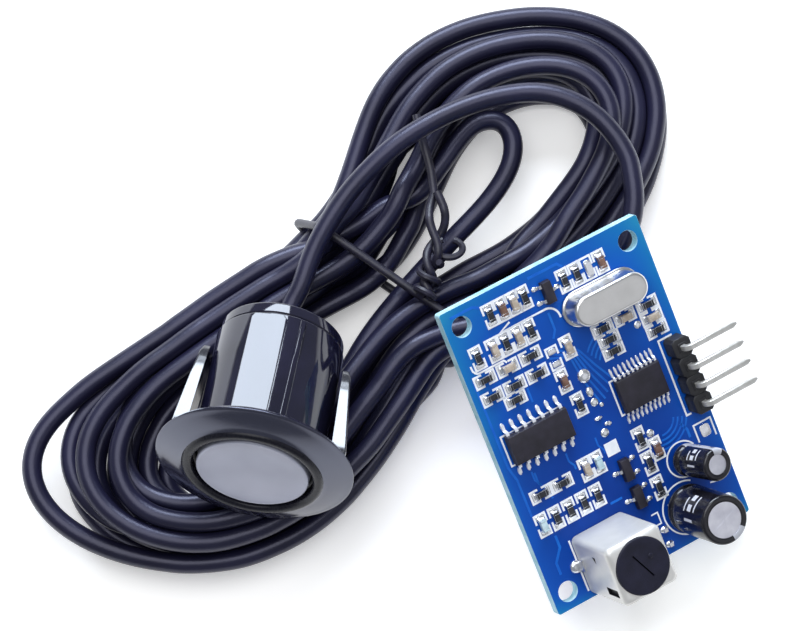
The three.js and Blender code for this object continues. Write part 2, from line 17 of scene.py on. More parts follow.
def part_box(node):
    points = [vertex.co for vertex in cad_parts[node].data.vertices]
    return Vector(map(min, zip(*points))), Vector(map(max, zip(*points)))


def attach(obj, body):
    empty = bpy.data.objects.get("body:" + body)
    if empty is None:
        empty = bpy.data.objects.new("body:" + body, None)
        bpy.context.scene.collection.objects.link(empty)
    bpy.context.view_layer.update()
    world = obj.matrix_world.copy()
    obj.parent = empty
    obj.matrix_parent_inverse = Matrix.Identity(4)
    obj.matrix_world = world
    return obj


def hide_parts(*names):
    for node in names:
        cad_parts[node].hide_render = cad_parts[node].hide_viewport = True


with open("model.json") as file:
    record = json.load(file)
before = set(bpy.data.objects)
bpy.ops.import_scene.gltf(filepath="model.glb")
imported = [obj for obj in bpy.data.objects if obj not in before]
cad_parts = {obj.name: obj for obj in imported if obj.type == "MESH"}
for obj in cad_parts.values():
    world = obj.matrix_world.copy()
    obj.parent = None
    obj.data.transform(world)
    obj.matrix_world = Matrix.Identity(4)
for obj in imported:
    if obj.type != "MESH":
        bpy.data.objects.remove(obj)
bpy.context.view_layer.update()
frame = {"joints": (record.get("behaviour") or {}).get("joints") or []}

# ---------------------------------------------------------------- frames

MM = 0.001
TO_METRES = Matrix.Diagonal((MM, MM, MM, 1))
ORIGIN_IN_LAYOUT = (7.347, -11.632)

BOARD_WIDTH = 28.5
BOARD_HEIGHT = 41.0
BOARD_THICKNESS = 1.4
WING_HINGE_BEHIND_FACE = 13.9


def joint(name):
    return next(j for j in frame["joints"] if j["name"] == name)


def box_centre(node):
    low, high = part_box(node)
    return (low + high) / 2


def frame_matrix(x_axis, y_axis, z_axis, origin):
    """A frame in millimetres, as a matrix into the row frame's metres."""
    turn = Matrix((x_axis, y_axis, z_axis)).transposed().to_4x4()
    return Matrix.Translation(origin) @ turn @ TO_METRES


def board_frame():
    """Its normal is the tuning core's axis, and the header pins line up along its y."""
    z = Vector(joint("core_turn")["axis"]).normalized()
    y = (box_centre("header_pin_1") - box_centre("header_pin_4")).normalized()
    x = y.cross(z).normalized()
    return frame_matrix(x, y, z, box_centre("circuit_board") + z * BOARD_THICKNESS / 2 * MM)


def probe_frame():
    """The two wings' hinges lie left and right of its axis, behind its face."""
    left, right = joint("left_wing_flex"), joint("right_wing_flex")
    x = (Vector(right["pos_m"]) - Vector(left["pos_m"])).normalized()
    y = Vector(left["axis"]).normalized()
    z = x.cross(y).normalized()
    middle = (Vector(left["pos_m"]) + Vector(right["pos_m"])) / 2
    return frame_matrix(x, y, z, middle + z * WING_HINGE_BEHIND_FACE * MM)


LAYOUT = Matrix.Translation((-ORIGIN_IN_LAYOUT[0] * MM, -ORIGIN_IN_LAYOUT[1] * MM, 0)) @ TO_METRES
BOARD = board_frame()
PROBE = probe_frame()

# ---------------------------------------------------------------- camera, stage and lights

CAMERA_TARGET = LAYOUT @ Vector((0, 0, 17.5))
CAMERA_DISTANCE = 0.45
CAMERA_ELEVATION = math.radians(80)
CAMERA_LENS = 166.5


def make_camera():
    data = bpy.data.cameras.new("camera")
    data.lens = CAMERA_LENS
    data.sensor_width = 36
    data.clip_start = 0.01
    camera = bpy.data.objects.new("camera", data)
    bpy.context.collection.objects.link(camera)
    back = Vector((0, -math.cos(CAMERA_ELEVATION), math.sin(CAMERA_ELEVATION)))
    camera.location = CAMERA_TARGET + back * CAMERA_DISTANCE
    camera.rotation_euler = (math.pi / 2 - CAMERA_ELEVATION, 0, 0)
    bpy.context.scene.camera = camera


def add_softbox(name, place, size, radiance, colour, target=(0, 0, 0.01)):
    """A rectangular studio light that looks at the object. Its size is in metres."""
    data = bpy.data.lights.new(name, "AREA")
    data.shape = "RECTANGLE"
    data.size, data.size_y = size
    data.energy = radiance * math.pi * size[0] * size[1]
    data.color = colour
    light = bpy.data.objects.new(name, data)
    bpy.context.collection.objects.link(light)
    light.location = place
    light.rotation_euler = (Vector(target) - Vector(place)).to_track_quat("-Z", "Y").to_euler()


def make_lights():
    world = bpy.data.worlds.new("studio")
    world.use_nodes = True
    background = world.node_tree.nodes["Background"]
    background.inputs["Color"].default_value = (0.88, 0.92, 1.0, 1)
    background.inputs["Strength"].default_value = 0.32
    bpy.context.scene.world = world
    add_softbox("strip", (-0.06, 0.44, 0.28), (0.34, 0.24), 14.5, (0.78, 0.87, 1.0))
    add_softbox("overhead", (-0.10, 0.15, 0.80), (0.70, 0.70), 3.0, (0.97, 0.98, 1.0))
    add_softbox("side", (0.50, -0.23, 0.45), (0.42, 0.42), 0.46, (0.98, 0.98, 1.0))


def make_stage():
    bm = bmesh.new()
    bmesh.ops.create_grid(bm, x_segments=2, y_segments=2, size=2.0)
    mesh = bpy.data.meshes.new("floor")
    bm.to_mesh(mesh)
    bm.free()
    floor = bpy.data.objects.new("floor", mesh)
    bpy.context.collection.objects.link(floor)
    material = bpy.data.materials.new("floor_white")
    material.use_nodes = True
    shader = material.node_tree.nodes["Principled BSDF"]
    shader.inputs["Base Color"].default_value = (0.98, 0.965, 0.935, 1)
    shader.inputs["Roughness"].default_value = 0.85
    # The floor is a light table, as for a cut-out.
    shader.inputs["Emission Color"].default_value = (1.0, 1.0, 1.0, 1)
    shader.inputs["Emission Strength"].default_value = 0.28
    mesh.materials.append(material)


make_camera()
make_lights()
make_stage()
bpy.context.scene.view_settings.view_transform = "Standard"

# ---------------------------------------------------------------- materials


class Shade:
    """A material under construction. Lengths are in millimetres of the piece that wears it."""

    def __init__(self, name, metallic=0.0, unit=1.0):
        self.material = bpy.data.materials.new(name)
        self.material.use_nodes = True
        self.tree = self.material.node_tree
        self.shader = self.tree.nodes["Principled BSDF"]
        self.shader.inputs["Roughness"].default_value = 0.4
        self.shader.inputs["Metallic"].default_value = metallic
        place = self.tree.nodes.new("ShaderNodeTexCoord").outputs["Object"]
        scaled = self.node("ShaderNodeVectorMath", {0: place, "Scale": unit}, operation="SCALE")
        self.place = scaled.outputs["Vector"]

    def node(self, kind, inputs=None, **settings):
        made = self.tree.nodes.new(kind)
        for key, value in settings.items():
            setattr(made, key, value)
        for key, value in (inputs or {}).items():
            if isinstance(value, bpy.types.NodeSocket):
                self.tree.links.new(value, made.inputs[key])
            else:
                made.inputs[key].default_value = value
        return made

    def maths(self, operation, a, b=0.0):
        return self.node("ShaderNodeMath", {0: a, 1: b}, operation=operation).outputs[0]

    def noise(self, per_mm, detail=3.0, stretch=(1, 1, 1)):
        place = self.node(
            "ShaderNodeVectorMath", {0: self.place, 1: stretch}, operation="MULTIPLY"
        ).outputs[0]
        return self.node(
            "ShaderNodeTexNoise", {"Vector": place, "Scale": per_mm, "Detail": detail}
        ).outputs["Fac"]

    def ramp(self, fac, stops):
        made = self.node("ShaderNodeValToRGB", {"Fac": fac})
        elements = made.color_ramp.elements
        while len(elements) < len(stops):
            elements.new(0.5)
        for element, (place, colour) in zip(elements, stops):
            element.position = place
            element.color = (*colour, 1)
        return made.outputs["Color"]

    def mix(self, fac, a, b):
        made = self.node("ShaderNodeMix", data_type="RGBA")
        for socket, value in ((made.inputs[0], fac), (made.inputs[6], a), (made.inputs[7], b)):
            if isinstance(value, bpy.types.NodeSocket):
                self.tree.links.new(value, socket)
            elif isinstance(value, tuple):
                socket.default_value = (*value, 1)
            else:
                socket.default_value = value
        return made.outputs[2]

    def colour(self, socket):
        self.tree.links.new(socket, self.shader.inputs["Base Color"])
        return self

    def rough(self, fac, low, high):
        made = self.node("ShaderNodeMapRange", {"Value": fac, "To Min": low, "To Max": high})
        self.tree.links.new(made.outputs["Result"], self.shader.inputs["Roughness"])
        return self

    def bump(self, height, depth_mm, strength=1.0):
        made = self.node(
            "ShaderNodeBump", {"Height": height, "Distance": depth_mm * MM, "Strength": strength}
        )
        self.tree.links.new(made.outputs["Normal"], self.shader.inputs["Normal"])
        return self

    def set(self, **inputs):
        for key, value in inputs.items():
            self.shader.inputs[key.replace("_", " ")].default_value = value
        return self


def mottled(name, dark, light, tint, rough_noise, rough, grain, bump, metallic=0.0, unit=1.0, **settings):
    """Two tints in patches, roughness that wanders and a fine grain, each by a noise of its own."""
    shade = Shade(name, metallic, unit)
    shade.colour(shade.ramp(shade.noise(*tint), [(0.3, dark), (0.7, light)]))
    shade.rough(shade.noise(*rough_noise), *rough)
    shade.bump(shade.noise(*grain), *bump)
    return shade.set(**settings).material


def plain(name, dark, light, patch, grain, depth, rough, metallic=0.0, specular=0.5, unit=1.0):
    """Most of the materials. The patches and the grain are given as so many to the millimetre."""
    return mottled(
        name, dark, light, (patch, 4.0), (patch * 3.1, 3.0), rough, (grain, 2.0), (depth,), metallic, unit,
        Specular_IOR_Level=specular,
    )


def make_metal(name, dark, light, rough, brushed=(1, 1, 1), depth=0.004, unit=1.0):
    return mottled(
        name, dark, light, (0.5, 4.0), (1.6, 5.0, brushed), rough, (7.0, 4.0, brushed), (depth, 0.6),
        1.0, unit,
    )


def make_moulding(name, dark, light, rough, **settings):
    """Moulded black, with the faintest orange peel and handling haze."""
    return mottled(name, dark, light, (0.2,), (0.7, 5.0), rough, (0.5, 2.0), (0.02, 0.25), **settings)


def make_mask():
    """Blue solder mask with painted light: painted shade deepens it towards the board's foot, and a painted
    sheen makes it lighter and greener at its head and edges.
    """
    shade = Shade("solder_mask")
    split = shade.node("ShaderNodeSeparateXYZ", {"Vector": shade.place})

    def times(a, b):
        return shade.maths("MULTIPLY", a, b)

    def plus(a, b):
        return shade.maths("ADD", a, b)

    def outwards(axis, size, power):
        """From 0 at the board's middle to 1 at two of its edges."""
        reach = shade.maths("ABSOLUTE", shade.maths("DIVIDE", split.outputs[axis], size / 2))
        return shade.maths("POWER", reach, power)

    # Painted light: the rise in lightness up the board and at its head are painted shade and painted sheen;
    # only the patches are the mask's own uneven tone.
    height = plus(shade.maths("DIVIDE", split.outputs["Y"], BOARD_HEIGHT), 0.5)
    head = shade.maths("POWER", shade.maths("MAXIMUM", height, 0.0), 3.0)
    painted_light_climb = plus(times(height, 0.33), times(head, 0.06))
    patches = times(shade.noise(0.12, 2.0), 0.30)
    # Painted sheen at the board's sides and ends, stronger at the foot's end than at the head's.
    painted_sheen_end_strength = shade.maths("SUBTRACT", 0.45, times(height, 0.37))
    sides = times(outwards("X", BOARD_WIDTH, 4.0), 0.32)
    ends = times(outwards("Y", BOARD_HEIGHT, 10.0), painted_sheen_end_strength)
    shade.colour(shade.ramp(plus(plus(painted_light_climb, patches), plus(sides, ends)), [
        (0.10, (0.0015, 0.026, 0.20)), (0.30, (0.003, 0.050, 0.33)), (0.52, (0.004, 0.084, 0.44)),
        (0.76, (0.006, 0.16, 0.45)), (1.0, (0.025, 0.30, 0.45)),
    ]))
    shade.rough(shade.noise(0.9, 3.0), 0.30, 0.42)
    shade.bump(shade.noise(5.0, 4.0), 0.006)
    return shade.set(Specular_IOR_Level=0.16).material


def make_sheath():
    """Soft black PVC with a violet cast, faint drawing marks along it and dust in its grain."""
    shade = Shade("cable_sheath")
    broad = shade.noise(0.11, 3.0)
    tint = shade.ramp(broad, [(0.3, (0.0060, 0.0058, 0.017)), (0.7, (0.0130, 0.0125, 0.034))])
    dust = shade.ramp(shade.noise(9.0, 6.0), [(0.62, (0, 0, 0)), (0.8, (0.12, 0.12, 0.12))])
    shade.colour(shade.mix(dust, tint, (0.09, 0.09, 0.12)))
    shade.rough(shade.noise(0.6, 4.0), 0.27, 0.40)
    shade.bump(shade.noise(3.2, 4.0), 0.03, 0.5)
    return shade.set(Specular_IOR_Level=0.5, Specular_Tint=(0.80, 0.80, 1.0, 1)).material


# Plain marks on the capacitors' sleeves: the angle and height of each, and half its width and height.
SLEEVE_MARKS = [
    (2.15, 0.73, 0.36, 0.013), (2.38, 0.61, 0.14, 0.045), (1.92, 0.61, 0.14, 0.045),
    (2.25, 0.49, 0.30, 0.013), (2.88, 0.61, 0.06, 0.10),
]


def make_sleeve(name, height, start):
    """Black shrink sleeve: a grey stripe crossed by dark bars down one side, and plain white marks."""
    shade = Shade(name)
    split = shade.node("ShaderNodeSeparateXYZ", {"Vector": shade.place})
    angle = shade.maths("ARCTAN2", split.outputs["Y"], split.outputs["X"])
    high = split.outputs["Z"]

    def band(value, centre, half):
        return shade.maths(
            "LESS_THAN", shade.maths("ABSOLUTE", shade.maths("SUBTRACT", value, centre)), half
        )

    bars = shade.maths("LESS_THAN", shade.maths("FRACT", shade.maths("MULTIPLY", high, 0.34)), 0.34)
    bars = shade.maths("MULTIPLY", band(angle, start, 0.09), bars)
    stripe = shade.maths("MULTIPLY", band(angle, start, 0.36), shade.maths("SUBTRACT", 1.0, bars))
    marks = 0.0
    for turn, low, wide, tall in SLEEVE_MARKS:
        mark = shade.maths("MULTIPLY", band(angle, turn, wide), band(high, height * low, height * tall))
        marks = shade.maths("ADD", marks, mark)
    tint = shade.ramp(shade.noise(0.8, 3.0), [(0.3, (0.004, 0.004, 0.006)), (0.7, (0.012, 0.011, 0.016))])
    tint = shade.mix(stripe, tint, (0.42, 0.43, 0.47))
    shade.colour(shade.mix(marks, tint, (0.62, 0.63, 0.68)))
    shade.rough(shade.noise(1.5), 0.14, 0.26)
    shade.bump(shade.noise(1.1, 2.0), 0.05, 0.4)
    return shade.material


MASK = make_mask()
TRACES = mottled(
    "mask_over_copper", (0.005, 0.10, 0.52), (0.010, 0.16, 0.64), (0.5,), (2.0,), (0.3, 0.42),
    (6.0,), (0.005,), Specular_IOR_Level=0.2,
)
SHEATH = make_sheath()
GLOSS = make_moulding(
    "housing_gloss", (0.0050, 0.0050, 0.014), (0.0095, 0.0090, 0.024), (0.03, 0.09), IOR=1.6
)
# The same moulding where its tool was polished less, round the flange.
FLANGE_SATIN = make_moulding(
    "flange_satin", (0.0060, 0.0060, 0.014), (0.0110, 0.0105, 0.024), (0.10, 0.18),
    IOR=2.0, Specular_Tint=(0.76, 0.80, 1.0, 1),
)
WING_GLOSS = mottled(
    "wing_gloss", (0.010, 0.010, 0.014), (0.022, 0.022, 0.030), (0.3,), (0.9, 4.0), (0.10, 0.22),
    (0.8, 3.0), (0.02, 0.4), Coat_Weight=0.7, Coat_Roughness=0.08, Specular_IOR_Level=0.7,
)
# A satin grey coating over the aluminium cup.
FACE = mottled(
    "sounding_face", (0.29, 0.30, 0.37), (0.37, 0.38, 0.46), (0.12, 2.0), (1.2, 5.0), (0.34, 0.46),
    (18.0, 3.0), (0.006,), metallic=0.25,
)
LAMINATE = plain("laminate_edge", (0.26, 0.52, 0.62), (0.50, 0.72, 0.80), 0.8, 6.0, 0.03, (0.5, 0.7))
SILK = plain("silk_ink", (0.82, 0.86, 0.92), (0.96, 0.97, 0.99), 1.2, 9.0, 0.008, (0.5, 0.65))
SOLDER = make_metal("solder", (0.78, 0.80, 0.84), (0.96, 0.97, 0.99), (0.16, 0.34))
TIN = make_metal("tin_plate", (0.70, 0.70, 0.72), (0.92, 0.92, 0.94), (0.22, 0.38), (1, 1, 0.1))
BRIGHT_TIN = plain("bright_tin", (0.74, 0.76, 0.80), (0.92, 0.93, 0.96), 1.2, 8.0, 0.006, (0.24, 0.36), 0.5)
NICKEL = make_metal("nickel_can", (0.66, 0.655, 0.64), (0.72, 0.715, 0.70), (0.26, 0.32), depth=0.0005)
PIN = plain("header_pin_plate", (0.52, 0.51, 0.48), (0.66, 0.65, 0.62), 1.0, 7.0, 0.006, (0.28, 0.40), 0.6)
RING_BLACK = plain(
    "face_ring_black", (0.005, 0.005, 0.010), (0.010, 0.010, 0.016), 0.9, 9.0, 0.01, (0.22, 0.34),
    specular=0.22
)
DRAWN_STEEL = plain(
    "drawn_steel", (0.64, 0.63, 0.60), (0.72, 0.71, 0.68), 0.4, 7.0, 0.008, (0.30, 0.42), 0.35
)
CHIP = plain("chip_moulding", (0.009, 0.0075, 0.014), (0.019, 0.016, 0.028), 0.7, 16.0, 0.012, (0.40, 0.55))
RESISTOR = plain(
    "resistor_glaze", (0.006, 0.007, 0.010), (0.02, 0.022, 0.03), 2.0, 12.0, 0.006, (0.25, 0.4)
)
ALUMINA = plain("alumina", (0.62, 0.64, 0.66), (0.82, 0.84, 0.86), 2.0, 14.0, 0.008, (0.5, 0.65))
TAN = plain("capacitor_tan", (0.40, 0.33, 0.26), (0.56, 0.48, 0.39), 1.6, 14.0, 0.01, (0.4, 0.55))
BROWN = plain("capacitor_brown", (0.13, 0.065, 0.045), (0.22, 0.12, 0.085), 1.6, 14.0, 0.01, (0.4, 0.55))
CYAN = plain("capacitor_pale", (0.42, 0.60, 0.66), (0.60, 0.76, 0.80), 1.6, 14.0, 0.01, (0.4, 0.55))
FERRITE = plain(
    "ferrite", (0.006, 0.006, 0.016), (0.012, 0.012, 0.030), 0.6, 9.0, 0.02, (0.42, 0.6), specular=0.3
)
# Black of the header's moulding, also used as painted shade in the openings of the transformer's can.
HEADER_AND_PAINTED_SHADE = plain(
    "header_moulding", (0.006, 0.006, 0.008), (0.015, 0.015, 0.018), 1.0, 12.0, 0.015, (0.42, 0.6)
)
RUBBER = plain("gland_rubber", (0.008, 0.008, 0.011), (0.018, 0.018, 0.022), 0.8, 8.0, 0.03, (0.55, 0.75))
TIE = plain("tie_plastic", (0.008, 0.0075, 0.016), (0.020, 0.018, 0.036), 0.9, 7.0, 0.02, (0.35, 0.5))
ALUMINIUM = make_metal("can_top", (0.66, 0.66, 0.74), (0.88, 0.88, 0.95), (0.3, 0.42))

# ---------------------------------------------------------------- mesh helpers

# Edges that turn by more than this stay sharp under smooth shading.
SHARP_FROM = math.radians(38)


def shade_smooth(mesh):
    for polygon in mesh.polygons:
        polygon.use_smooth = True
    mesh.set_sharp_from_angle(angle=SHARP_FROM)


def piece(name, bm, matrix, materials, body="sensor", replaces=(), smooth=True):
    """A mesh in one of the millimetre frames becomes an object that rides on a body."""
    bmesh.ops.recalc_face_normals(bm, faces=bm.faces)
    mesh = bpy.data.meshes.new(name)
    bm.to_mesh(mesh)
    bm.free()
    if smooth:
        shade_smooth(mesh)
    for material in materials if isinstance(materials, (list, tuple)) else [materials]:
        mesh.materials.append(material)
    made = bpy.data.objects.new(name, mesh)
    bpy.context.collection.objects.link(made)
    made.matrix_world = matrix
    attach(made, body)
    if replaces:
        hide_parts(*replaces)
    return made


def bridge(bm, rings, closed=False, index=0):
    """Skin between rings of the same number of points, with a cap on each end unless it's closed."""
    rows = [[bm.verts.new(point) for point in ring] for ring in rings]
    pairs = list(zip(rows, rows[1:])) + ([(rows[-1], rows[0])] if closed else [])
    for a, b in pairs:
        for k in range(len(a)):
            j = (k + 1) % len(a)
            bm.faces.new((a[k], a[j], b[j], b[k])).material_index = index
    if not closed:
        for row in (rows[0], rows[-1]):
            bm.faces.new(row).material_index = index


def rings_round(x, y, profile, sides, stretch=1.0):
    """A profile of (radius, height) turned about an upright line, as rings of points."""
    turns = [2 * math.pi * k / sides for k in range(sides)]
    return [[(x + r * math.cos(t), y + r * stretch * math.sin(t), z) for t in turns] for r, z in profile]


def turned(bm, profile, sides):
    """A closed profile of (radius, height), turned about z."""
    bridge(bm, rings_round(0, 0, profile, sides), closed=True)


def lathe(bm, profile, sides):
    """A profile of (radius, height) that starts and ends on the z axis, turned about it."""
    bridge(bm, rings_round(0, 0, [(max(r, 1e-4), z) for r, z in profile], sides))


def frames_along(points, closed=False):
    """Right and up vectors for a cross-section that doesn't twist, at each point of a line."""
    points = np.asarray(points, float)
    if closed:
        tangents = np.roll(points, -1, 0) - np.roll(points, 1, 0)
    else:
        tangents = np.gradient(points, axis=0)
    tangents /= np.linalg.norm(tangents, axis=1)[:, None]
    start = np.cross(tangents[0], (0, 0, 1.0))
    if np.linalg.norm(start) < 0.2:
        start = np.cross(tangents[0], (1.0, 0, 0))
    right = start / np.linalg.norm(start)
    rights = []
    for tangent in tangents:
        right = right - tangent * (right @ tangent)
        right /= np.linalg.norm(right)
        rights.append(right)
    rights = np.array(rights)
    return rights, np.cross(rights, tangents)


def tube(bm, points, radius, sides, closed=False):
    """A round wire along a line."""
    points = np.asarray(points, float)
    rights, ups = frames_along(points, closed)
    turns = np.linspace(0, 2 * math.pi, sides, endpoint=False)
    rings = [
        [tuple(p + radius * (math.cos(t) * a + math.sin(t) * b)) for t in turns]
        for p, a, b in zip(points, rights, ups)
    ]
    bridge(bm, rings, closed)


def bar(bm, points, wide, thick, across, index=0):
    """A flat strip of metal along a line, with its width along one fixed direction."""
    across = Vector(across).normalized()
    points = [Vector(p) for p in points]
    rings = []
    for k, point in enumerate(points):
        before = points[k] - points[k - 1] if k else points[1] - points[0]
        after = points[k + 1] - points[k] if k + 1 < len(points) else before
        tangent = (before.normalized() + after.normalized()).normalized()
        normal = across.cross(tangent).normalized()
        mitre = 1 / max(0.5, normal.dot(across.cross(after.normalized()).normalized()))
        a, b = across * wide / 2, normal * thick / 2 * mitre
        rings.append([point - a - b, point + a - b, point + a + b, point - a + b])
    bridge(bm, rings, index=index)


def block(bm, low, high, bevel=0.0, segments=2, index=0, taper=0.0):
    """A box with rounded edges. With a taper its top is smaller on every side."""
    low, high = Vector(low), Vector(high)
    made = bmesh.ops.create_cube(bm, size=1)["verts"]
    for vert in made:
        x, y, z = (vert.co[k] + 0.5 for k in range(3))
        vert.co = [a + (b - a) * part for a, b, part in zip(low, high, (x, y, z))]
        if z > 0.5:
            vert.co.x += taper * (1 - 2 * x)
            vert.co.y += taper * (1 - 2 * y)
    faces = {face for vert in made for face in vert.link_faces}
    if bevel:
        edges = {edge for vert in made for edge in vert.link_edges}
        result = bmesh.ops.bevel(
            bm, geom=list(edges), offset=bevel, segments=segments, profile=0.5, affect="EDGES"
        )
        faces = set(result["faces"]) | {face for face in faces if face.is_valid}
    for face in faces:
        face.material_index = index


def prism(bm, outline, low, high, bevel):
    """An outline of (x, y) raised from one height to another, with its upper rim rounded."""
    rings = [[(x, y, low) for x, y in outline]]
    centre = Vector((sum(p[0] for p in outline), sum(p[1] for p in outline))) / len(outline)
    reach = max((Vector(p) - centre).length for p in outline)
    for part in (0.0, 0.3, 0.6, 0.85, 1.0):
        inset = bevel * (1 - math.sqrt(max(0.0, 1 - part * part))) / reach
        rise = high - bevel + bevel * part
        rings.append([tuple(centre.lerp(Vector(p), 1 - inset)) + (rise,) for p in outline])
    bridge(bm, rings)


def arc(centre, radius, start, end, count):
    """Points round a part of a circle, with the angles in degrees."""
    turns = np.linspace(math.radians(start), math.radians(end), count)
    return [(centre[0] + radius * math.cos(t), centre[1] + radius * math.sin(t)) for t in turns]


def rounded_outline(x0, y0, x1, y1, radius, count):
    """A rectangle with round corners, anticlockwise."""
    corners = (((x1 - radius, y1 - radius), 0), ((x0 + radius, y1 - radius), 90),
               ((x0 + radius, y0 + radius), 180), ((x1 - radius, y0 + radius), 270))
    return [point for centre, turn in corners for point in arc(centre, radius, turn, turn + 90, count)]


def ribbon(bm, points, width, low, high):
    """A raised line on a flat surface, through (x, y) points with mitred corners."""
    points = [Vector(p) for p in points]
    rings = []
    for k, point in enumerate(points):
        before = point - points[k - 1] if k else points[1] - point
        after = points[k + 1] - point if k + 1 < len(points) else before
        before, after = before.normalized(), after.normalized()
        side = Vector((-(before + after).y, (before + after).x)).normalized()
        reach = width / 2 / max(0.4, side.dot(Vector((-after.y, after.x))))
        a, b = point + side * reach, point - side * reach
        rings.append([(a.x, a.y, low), (a.x, a.y, high), (b.x, b.y, high), (b.x, b.y, low)])
    bridge(bm, rings)


def dome(bm, x, y, low, radius, high, index=0, sides=16, stretch=1.0):
    """A small mound of solder, which may be drawn out along y."""
    steps = [math.pi / 2 * step / 6 for step in range(6)]
    profile = [
        (radius * math.cos(t) ** 0.7, low + high * math.sin(t)) for t in steps
    ] + [(1e-3, low + high)]
    bridge(bm, rings_round(x, y, profile, sides, stretch), index=index)


def carve(target, cutters):
    """Take some closed meshes away from a piece."""
    for number, cutter in enumerate(cutters):
        bmesh.ops.recalc_face_normals(cutter, faces=cutter.faces)
        mesh = bpy.data.meshes.new("cutter")
        cutter.to_mesh(mesh)
        cutter.free()
        tool = bpy.data.objects.new("cutter", mesh)
        bpy.context.collection.objects.link(tool)
        tool.matrix_world = target.matrix_world
        modifier = target.modifiers.new("carve", "BOOLEAN")
        modifier.operation = "DIFFERENCE"
        modifier.solver = "EXACT"
        modifier.object = tool
        bpy.context.view_layer.update()
        result = bpy.data.meshes.new_from_object(
            target.evaluated_get(bpy.context.evaluated_depsgraph_get())
        )
        target.modifiers.clear()
        result.name = target.name + "_" + str(number)
        target.data = result
        bpy.data.objects.remove(tool)


def spot(right, down):
    """A place on the board, from its top left corner, in the board's frame."""
    return right - BOARD_WIDTH / 2, BOARD_HEIGHT / 2 - down


def catmull_rom(a, b, c, d, t):
    """The smooth curve between b and c, with t from 0 to 1."""
    return 0.5 * (2 * b + (c - a) * t + (2 * a - 5 * b + 4 * c - d) * t**2 + (3 * b - a - 3 * c + d) * t**3)


def smooth_line(points, per_span=12):
    """A fine line through a few points."""
    points = np.asarray(points, float)
    padded = np.vstack([2 * points[0] - points[1], points, 2 * points[-1] - points[-2]])
    t = np.linspace(0, 1, per_span, endpoint=False)[:, None]
    fine = [catmull_rom(*four, t) for four in zip(padded, padded[1:], padded[2:], padded[3:])]
    return np.vstack(fine + [points[-1:]])


def in_frame(matrix, points, into=LAYOUT):
    """Points of one millimetre frame, in another."""
    change = into.inverted() @ matrix
    return [tuple(change @ Vector(p)) for p in points]


# ---------------------------------------------------------------- the cable

CABLE_RADIUS = 1.25
WIRE_RADIUS = 0.5
TURNS = 12
STEP = 1.7

# The hank is wound clockwise between two rings, which both start at the left of its waist.
# Each pair is the outermost and the innermost place of a strand there, in the layout.
HANK_STATIONS = [
    ((-11.8, 13.9), (-2.6, 7.4)), ((-8.2, 20.6), (3.0, 15.6)), ((-4.1, 27.8), (5.4, 23.0)),
    ((-0.5, 32.9), (8.6, 28.6)), ((5.0, 37.3), (12.6, 31.4)), ((12.6, 39.6), (17.4, 32.8)),
    ((21.4, 40.1), (20.8, 32.8)), ((27.8, 38.5), (24.6, 31.2)), ((31.6, 33.9), (26.0, 28.0)),
    ((32.0, 28.2), (25.8, 23.2)), ((30.4, 21.7), (22.6, 18.8)), ((27.2, 15.8), (18.6, 14.8)),
    ((24.2, 9.4), (13.4, 11.2)), ((18.6, 3.8), (8.4, 8.6)), ((10.6, 0.0), (4.0, 6.0)),
    ((4.4, -3.8), (-0.4, 4.0)), ((1.2, -10.8), (-5.2, -0.8)), ((-3.2, -17.5), (-9.8, -8.2)),
    ((-8.5, -22.8), (-14.0, -15.2)), ((-14.6, -26.3), (-18.5, -19.8)), ((-21.2, -28.4), (-23.5, -22.5)),
    ((-28.0, -28.8), (-28.5, -22.0)), ((-34.8, -27.6), (-31.8, -20.0)), ((-41.2, -24.8), (-31.5, -16.5)),
    ((-45.4, -20.4), (-30.0, -12.5)), ((-45.9, -15.0), (-27.0, -8.0)), ((-41.4, -10.0), (-22.5, -3.4)),
    ((-34.2, -5.0), (-17.8, 0.6)), ((-27.0, 0.1), (-13.0, 3.6)), ((-19.6, 6.3), (-8.0, 6.0)),
]
FIRST_STATION = 14.1
LAST_STATION = 9.6
# Stations at which each turn has a place of its own across the band.
PLACED_AT = (2.5, 6.0, 10.5, 15.0, 20.0, 24.5, 27.5)
OUTLYING_TURN = 3
SHORT_TURN = 4
INLYING_TURN = 8
# The short turn's own way round the inside of the upper end.
SHORT_LOOP = [
    (4.0, 17.0), (6.0, 21.6), (8.6, 26.0), (11.9, 28.3), (14.8, 27.2), (16.0, 23.6), (14.4, 19.2),
    (10.8, 14.8), (6.0, 10.0),
]

# Up from the gland, over the hank, round its upper end and in under the board.
LEAD_POINTS = [
    (-12.2, 4.6, 12.3), (-10.8, 8.6, 12.5), (-8.6, 12.8, 13.0), (-5.4, 17.3, 13.4), (-0.3, 22.2, 14.0),
    (6.0, 26.0, 14.0), (12.4, 28.3, 13.6), (18.2, 28.7, 13.4), (23.4, 26.6, 13.4), (27.0, 22.7, 13.6),
    (28.9, 18.0, 13.9), (29.2, 13.0, 14.3), (27.4, 8.2, 14.5), (24.4, 4.6, 13.9), (20.9, 3.2, 13.0),
]
# Out of the hank's side under the board, and along the table to where the sheath ends.
TAIL_POINTS = [
    (15.6, -2.6, 4.0), (16.2, -5.4, 3.2), (16.8, -9.0, 1.7), (17.4, -13.0, 1.35), (18.2, -17.0, 1.35),
    (19.4, -20.6, 2.0),
]
TIE_FROM = np.array((-14.2, 15.3))
TIE_TO = np.array((8.3, -0.1))
TIE_ALONG = (TIE_TO - TIE_FROM) / np.linalg.norm(TIE_TO - TIE_FROM)
TIE_NORMAL = np.array((-TIE_ALONG[1], TIE_ALONG[0]))
TIE_RADIUS = 0.55


def periodic(values, at):
    """A smooth curve through a closed list of values, at fractional places."""
    values = np.asarray(values, float)
    base = np.floor(at).astype(int)
    four = (values[(base + k) % len(values)] for k in (-1, 0, 1, 2))
    return catmull_rom(*four, (at - base)[:, None])


